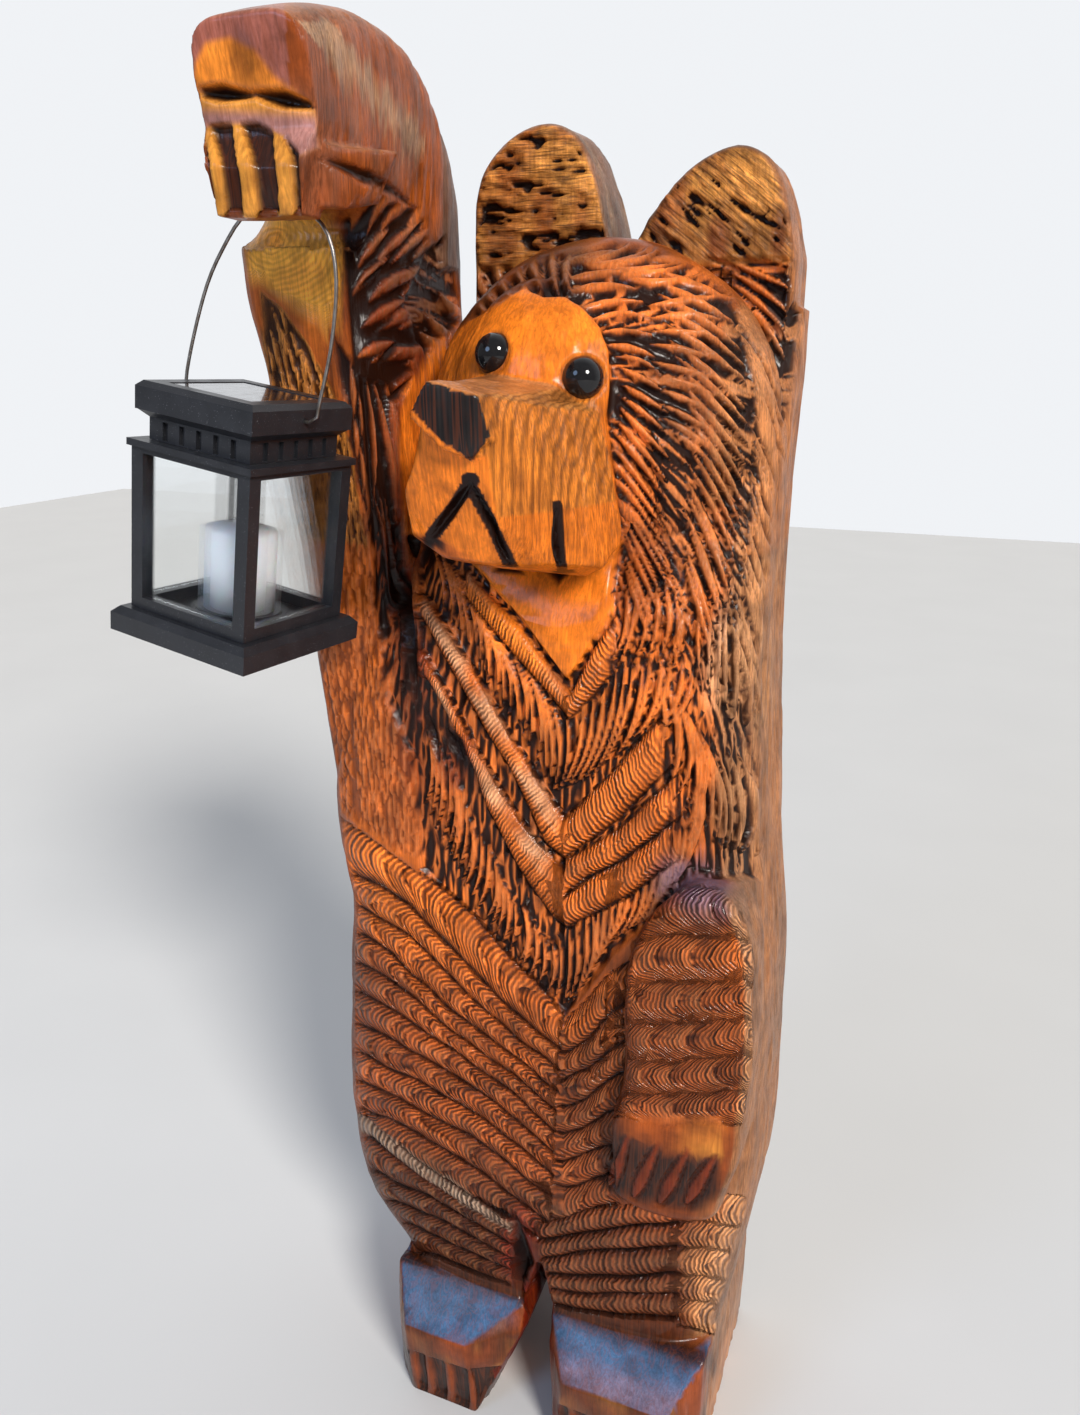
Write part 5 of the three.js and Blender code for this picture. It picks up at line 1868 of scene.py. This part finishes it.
@dataclass(frozen=True)
class VarnishedWood:
    """Carved softwood, scorched in the cuts, stained and varnished, with painted shade in its creases and chain marks
    and painted highlights on its crests.

    Attributes:
        coat: weight of the varnish.
        coat_roughness: how dull the varnish is.
        specular: reflection of the wood under it.
        crest_wear_and_highlight: worn crests, partly a painted highlight.
        ringed: year rings.
        chain_mark_and_shade: the chain's marks, darkened partly as painted shade.
        split: gaps between torn fibres.
        singed_and_shaded: the cuts' edges, and the painted shade in the creases between rolls.
        charred_and_shaded: the cuts' bottoms, and the painted shade deepest in those creases.
    """

    coat: float = 0.3
    coat_roughness: float = 0.12
    specular: float = 0.08
    crest_wear_and_highlight: Colour = (0.72, 0.36, 0.15)
    ringed: Colour = (0.22, 0.045, 0.008)
    chain_mark_and_shade: Colour = (0.022, 0.005, 0.002)
    split: Colour = (0.03, 0.009, 0.004)
    singed_and_shaded: Colour = (0.05, 0.009, 0.002)
    charred_and_shaded: Colour = (0.008, 0.003, 0.002)

    def material(self) -> bpy.types.Material:
        """Builds the material.

        Returns:
            The material.
        """
        n = Nodes("varnished_wood")
        tint, groove, worn = n.attribute("tint", True), n.attribute("groove"), n.attribute("crest")
        along, rolled, fibre = n.attribute("along"), n.attribute("rolled"), n.attribute("fibre")
        lined, gloss = n.attribute("streak"), n.attribute("gloss")
        wobble = n.noise((42, 42, 36), 3.0, 0.55)
        patchy = n.noise((38, 38, 38), 2.0)
        grain = n.noise((420, 420, 16), 5.0, 0.62, 0.6)
        rings = n.math("SINE", n.times(n.noise((95, 60, 3.2), 2.0, 0.4, 0.8), 46.0))
        upright = n.add("TexWave", Vector=n.place((1.0, 0.6, 0.1)), Scale=84.0, Distortion=5.0, Detail=3.0).outputs[1]
        streak = n.noise((700, 700, 60), 4.0, 0.7)
        torn = n.add("CombineXYZ", X=n.times(n.attribute("ear_across"), 0.62),
                     Y=n.times(n.attribute("ear_along"), 0.045)).outputs[0]
        torn = n.add("TexNoise", Vector=torn, Scale=1.0, Detail=4.0, Roughness=0.65).outputs[0]
        streak = n.add("Mix", i0=n.attribute("ear"), i2=streak, i3=torn).outputs[0]
        grime = n.noise((45, 45, 60), 5.0, 0.6)
        # chain marks: thin crescents across each roll, darkened in their lines as painted shade and lightened between
        # them as painted highlight
        phase = n.plus(along, n.times(wobble, 1.5))
        wave = n.math("SINE", n.times(phase, 2 * math.pi))
        number = n.math("FLOOR", n.plus(phase, 0.25))
        every = n.add("TexWhiteNoise", {"noise_dimensions": "1D"}, W=number).outputs[0]
        strong = n.times(rolled, n.ramp(patchy, 0.3, 0.6, 0.65, 1.0))
        strong = n.times(strong, n.ramp(every, 0.0, 1.0, 0.4, 1.0))
        mark = n.times(n.ramp(wave, 0.0, 0.9), strong)
        crest = n.times(n.ramp(wave, 0.2, -0.9), strong)
        light = n.ramp(grain, 0.25, 0.75, 0.62, 1.30)
        # painted highlight, partly wear: the crests and the chain marks' ridges are lightened
        raised = n.plus(n.times(worn, 0.7), n.times(crest, 1.5))
        light = n.times(light, n.plus(1.0, raised))
        drawn = n.times(n.times(n.ramp(upright, 0.4, 1.0), lined), 0.4)
        light = n.times(light, n.minus(1.0, drawn))
        light = n.times(light, n.ramp(patchy, 0.3, 0.7, 0.65, 1.2))
        uneven = n.times(n.minus(every, 0.5), n.times(rolled, 0.55))
        light = n.times(light, n.minus(1.0, uneven))
        light = n.add("CombineColor", Red=light, Green=light, Blue=light).outputs[0]
        colour = n.blend(1.0, tint, light, "MULTIPLY")
        # partly painted highlight: worn crests are paled
        pale = n.times(n.times(worn, n.ramp(streak, 0.35, 0.65)), 0.3)
        colour = n.blend(pale, colour, self.crest_wear_and_highlight)
        colour = n.blend(n.ramp(rings, -0.2, 1.0, 0.0, 0.22), colour, self.ringed)
        colour = n.blend(n.times(n.ramp(grime, 0.5, 0.75), 0.4), colour, Stain.UMBER.value)
        # the chain marks' dark lines, partly painted shade
        colour = n.blend(n.times(mark, 0.95), colour, self.chain_mark_and_shade)
        splinter = n.times(n.ramp(streak, 0.44, 0.62), fibre)
        colour = n.blend(n.times(splinter, 0.7), colour, self.split)
        # darkened by depth: scorch in the cuts, and painted shade in the creases between rolls
        scorched = n.ramp(n.plus(groove, n.times(n.minus(streak, 0.5), 0.5)), 0.1, 0.5)
        colour = n.blend(n.times(scorched, 0.8), colour, self.singed_and_shaded)
        deep = n.ramp(n.plus(groove, n.times(n.minus(grime, 0.5), 0.6)), 0.34, 0.74)
        colour = n.blend(n.times(deep, 0.92), colour, self.charred_and_shaded)
        rough = n.minus(0.62, n.times(gloss, 0.42))
        rough = n.plus(rough, n.times(n.ramp(streak, 0.3, 0.7), 0.12))
        normal = n.bump(n.minus(crest, mark), 0.0011)
        normal = n.bump(grain, 0.00022, normal)
        normal = n.bump(n.times(n.minus(1.0, streak), fibre), 0.0016, normal)
        n.put(n.shader.inputs["Coat Normal"], normal)
        return n.finish(colour, rough, normal, Specular_IOR_Level=self.specular, Coat_Weight=self.coat,
                        Coat_Roughness=self.coat_roughness)


@dataclass(frozen=True)
class BlackPlastic:
    """Satin moulded plastic with dust specks and rubbed edges."""

    def material(self) -> bpy.types.Material:
        """Builds the material.

        Returns:
            The material.
        """
        n = Nodes("black_plastic")
        cloud = n.noise((60, 60, 60), 4.0)
        fine = n.noise((900, 900, 900), 2.0)
        specks = n.ramp(n.noise((1300, 1300, 1300), 1.0), 0.735, 0.76)
        colour = n.blend(cloud, (0.010, 0.011, 0.014), (0.022, 0.023, 0.028))
        colour = n.blend(n.times(specks, 0.5), colour, (0.45, 0.46, 0.5))
        return n.finish(colour, n.ramp(cloud, 0.3, 0.7, 0.30, 0.44), n.bump(fine, 0.00008))


@dataclass(frozen=True)
class SolarCell:
    """Dark cell with a fine grid under a clear face."""

    def material(self) -> bpy.types.Material:
        """Builds the material.

        Returns:
            The material.
        """
        n = Nodes("solar_cell")
        cloud = n.noise((90, 90, 90), 3.0)
        wave = n.add("TexWave", {"wave_type": "BANDS", "bands_direction": "X"}, Vector=n.place((1, 0.1, 1)), Scale=26.0)
        line = n.ramp(wave.outputs["Fac"], 0.96, 1.0)
        colour = n.blend(cloud, (0.006, 0.007, 0.011), (0.018, 0.017, 0.024))
        colour = n.blend(n.times(line, 0.3), colour, (0.2, 0.2, 0.22))
        return n.finish(colour, n.ramp(cloud, 0.3, 0.7, 0.1, 0.22), n.bump(line, 0.0001), Coat_Weight=0.8)


@dataclass(frozen=True)
class Clouded:
    """A finish whose colour, roughness and bump follow one soft noise.

    Attributes:
        name: the material's name.
        noise: steps a metre along each axis, detail, roughness and distortion of the noise.
        low: colour where the noise is low.
        high: colour where it is high.
        rough: two values of the noise and the roughness at each.
        bump: height of the bump, m.
        plain: values of the shader that are the same all over.
        spread: the noise's values at the two colours, if not 0 and 1.
    """

    name: str
    noise: tuple[object, ...]
    low: Colour
    high: Colour
    rough: tuple[float, float, float, float]
    bump: float
    plain: dict[str, float]
    spread: Point | None = None

    def material(self) -> bpy.types.Material:
        """Builds the material.

        Returns:
            The material.
        """
        n = Nodes(self.name)
        cloud = n.noise(*self.noise)
        share = n.ramp(cloud, *self.spread) if self.spread else cloud
        colour = n.blend(share, self.low, self.high)
        return n.finish(colour, n.ramp(cloud, *self.rough), n.bump(cloud, self.bump), **self.plain)


BLACK_GLOSS = Clouded(
    "eye_gloss", ((240, 240, 240), 3.0), (0.004, 0.004, 0.005), (0.012, 0.011, 0.012), (0.3, 0.8, 0.05, 0.12),
    0.00003, {"Specular_IOR_Level": 0.1, "Coat_Weight": 0.7, "Coat_Roughness": 0.03},
)
STEEL_WIRE = Clouded(
    "steel_wire", ((300, 300, 120), 4.0), (0.32, 0.31, 0.30), (0.16, 0.12, 0.09), (0.3, 0.7, 0.28, 0.5),
    0.0001, {"Metallic": 0.9}, (0.35, 0.7),
)
CANDLE_WAX = Clouded(
    "candle_wax", ((50, 50, 30), 4.0), (0.74, 0.79, 0.86), (0.86, 0.88, 0.92), (0.3, 0.7, 0.42, 0.55),
    0.0004, {"Subsurface_Weight": 0.15, "Subsurface_Scale": 0.01},
)
CLEAR_PANE = Clouded(
    "clear_pane", ((34, 34, 20), 5.0, 0.6, 1.0), (0.92, 0.95, 0.95), (0.84, 0.87, 0.87), (0.45, 0.75, 0.02, 0.14),
    0.00005, {"Transmission_Weight": 1.0, "IOR": 1.1, "Alpha": 0.4},
)


@dataclass
class Lantern:
    """The hung lantern, its wire and hook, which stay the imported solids.

    Attributes:
        edge: width of the rubbed edges, m.
        rounded: the pieces that are shaded smooth.
    """

    edge: float = 0.0009
    rounded: tuple[str, ...] = ("right_eye", "left_eye", "bail", "hook", "candle")

    def dress(self, nodes: dict[str, bpy.types.Object], finishes: dict[str, bpy.types.Material]) -> None:
        """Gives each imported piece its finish.

        Args:
            nodes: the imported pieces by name.
            finishes: materials by slot.
        """
        slots = {
            "lantern_base": "black_plastic", "lantern_frame": "black_plastic", "lantern_cap": "black_plastic",
            "solar_panel": "solar_cell", "candle": "candle_wax", "bail": "steel_wire", "hook": "steel_wire",
            "pane_front": "clear_pane", "pane_right": "clear_pane", "pane_back": "clear_pane",
            "pane_left": "clear_pane", "right_eye": "eye_gloss", "left_eye": "eye_gloss",
        }
        for name, slot in slots.items():
            piece = nodes[name]
            piece.data.materials.clear()
            piece.data.materials.append(finishes[slot])
            rounded = name in self.rounded
            for polygon in piece.data.polygons:
                polygon.use_smooth = rounded
            if rounded:
                weld = piece.modifiers.new("joined", "WELD")
                weld.merge_threshold = 1e-5
            if name.startswith("lantern"):
                bevel = piece.modifiers.new("edges", "BEVEL")
                bevel.width = self.edge
                bevel.segments = 2
                bevel.limit_method = "ANGLE"
                bevel.angle_limit = math.radians(30)
            log.info("%s dressed in %s", name, slot)


# ---------------------------------------------------------------- the studio


@dataclass
class Studio:
    """Floor, lights and the camera.

    Attributes:
        camera_at: the camera's place, m.
        heading: azimuth of the view, degrees.
        pitch: how far it looks down, degrees.
        lens: mm on a 36 mm sensor.
        front_light: strength of the surroundings in front of the bear.
        back_light: strength of the pale surroundings behind it.
        floor_half: half the floor's side, m.
        key_power: strength of the key light.
        key_way: where the key light shines.
        sky_power: power of the cool lamp, W.
    """

    camera_at: tuple[float, float, float] = (0.34982, -0.77333, 1.025)
    heading: float = 22.0
    pitch: float = 18.4
    lens: float = 27.0
    front_light: float = 0.28
    back_light: float = 0.92
    floor_half: float = 6.0
    key_power: float = 3.7
    key_way: tuple[float, float, float] = (-3.2, 2.9, -2.7)
    sky_power: float = 30.0

    def build(self) -> None:
        """Makes everything that isn't the object."""
        self._camera()
        self._floor()
        self._lights()

    def _camera(self) -> None:
        """The photograph's view."""
        data = bpy.data.cameras.new("camera")
        data.lens = self.lens
        data.sensor_width = 36.0
        data.clip_start = 0.01
        camera = linked("camera", data)
        camera.location = self.camera_at
        camera.rotation_euler = (math.radians(90 - self.pitch), 0.0, math.radians(self.heading))
        bpy.context.scene.camera = camera

    def _floor(self) -> None:
        """A plain pale floor."""
        size = self.floor_half
        floor = as_object("floor", np.array([(-size, -size, 0), (size, -size, 0), (size, size, 0), (-size, size, 0)]),
                          [[0, 1, 2, 3]])
        n = Nodes("pale_floor")
        cloud = n.noise((3, 3, 3), 3.0)
        colour = n.blend(cloud, (0.60, 0.60, 0.60), (0.64, 0.64, 0.64))
        n.put(n.shader.inputs["Base Color"], colour)
        n.shader.inputs["Roughness"].default_value = 0.8
        floor.data.materials.append(n.material)

    def _lamp(
        self, name: str, at: tuple[float, float, float], aim: tuple[float, float, float], size: float,
        power: float, colour: Colour,
    ) -> None:
        """One soft round lamp.

        Args:
            name: its name.
            at: its place, m.
            aim: where it points, m.
            size: how wide it is, m.
            power: its power, W.
            colour: its colour, linear.
        """
        data = bpy.data.lights.new(name, "AREA")
        data.shape = "DISK"
        data.size = size
        data.energy = power
        data.color = colour
        lamp = linked(name, data)
        lamp.location = at
        lamp.rotation_euler = (Vector(aim) - Vector(at)).to_track_quat("-Z", "Y").to_euler()

    def _lights(self) -> None:
        """Pale surroundings, a soft key light and one cool lamp."""
        world = bpy.data.worlds.new("studio")
        world.use_nodes = True
        tree = world.node_tree
        back = tree.nodes["Background"]
        place = tree.nodes.new("ShaderNodeTexCoord")
        split = tree.nodes.new("ShaderNodeSeparateXYZ")
        ramp = tree.nodes.new("ShaderNodeMapRange")
        tree.links.new(place.outputs["Generated"], split.inputs[0])
        tree.links.new(split.outputs["Y"], ramp.inputs["Value"])
        ramp.inputs["From Min"].default_value = -0.1
        ramp.inputs["From Max"].default_value = 0.6
        ramp.inputs["To Min"].default_value = self.front_light
        ramp.inputs["To Max"].default_value = self.back_light
        tree.links.new(ramp.outputs[0], back.inputs["Strength"])
        back.inputs["Color"].default_value = (0.95, 0.97, 1.0, 1.0)
        bpy.context.scene.world = world
        data = bpy.data.lights.new("key", "SUN")
        data.energy = self.key_power
        data.angle = math.radians(16)
        data.color = (1.0, 0.96, 0.9)
        linked("key", data).rotation_euler = Vector(self.key_way).to_track_quat("-Z", "Y").to_euler()
        self._lamp("sky", (-1.3, -2.9, 2.5), (0.0, -0.1, 0.3), 1.4, self.sky_power, (0.42, 0.63, 1.0))
        bpy.context.scene.view_settings.view_transform = "Standard"


def main() -> None:
    """Builds the scene in order."""
    logging.basicConfig(level=logging.INFO, format="%(name)s: %(message)s")
    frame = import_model()
    finishes = {
        "varnished_wood": VarnishedWood().material(),
        "eye_gloss": BLACK_GLOSS.material(),
        "steel_wire": STEEL_WIRE.material(),
        "black_plastic": BlackPlastic().material(),
        "solar_cell": SolarCell().material(),
        "candle_wax": CANDLE_WAX.material(),
        "clear_pane": CLEAR_PANE.material(),
    }
    Studio().build()
    Bear().build(finishes["varnished_wood"])
    Lantern().dress(frame["nodes"], finishes)


if __name__ == "__main__":
    main()
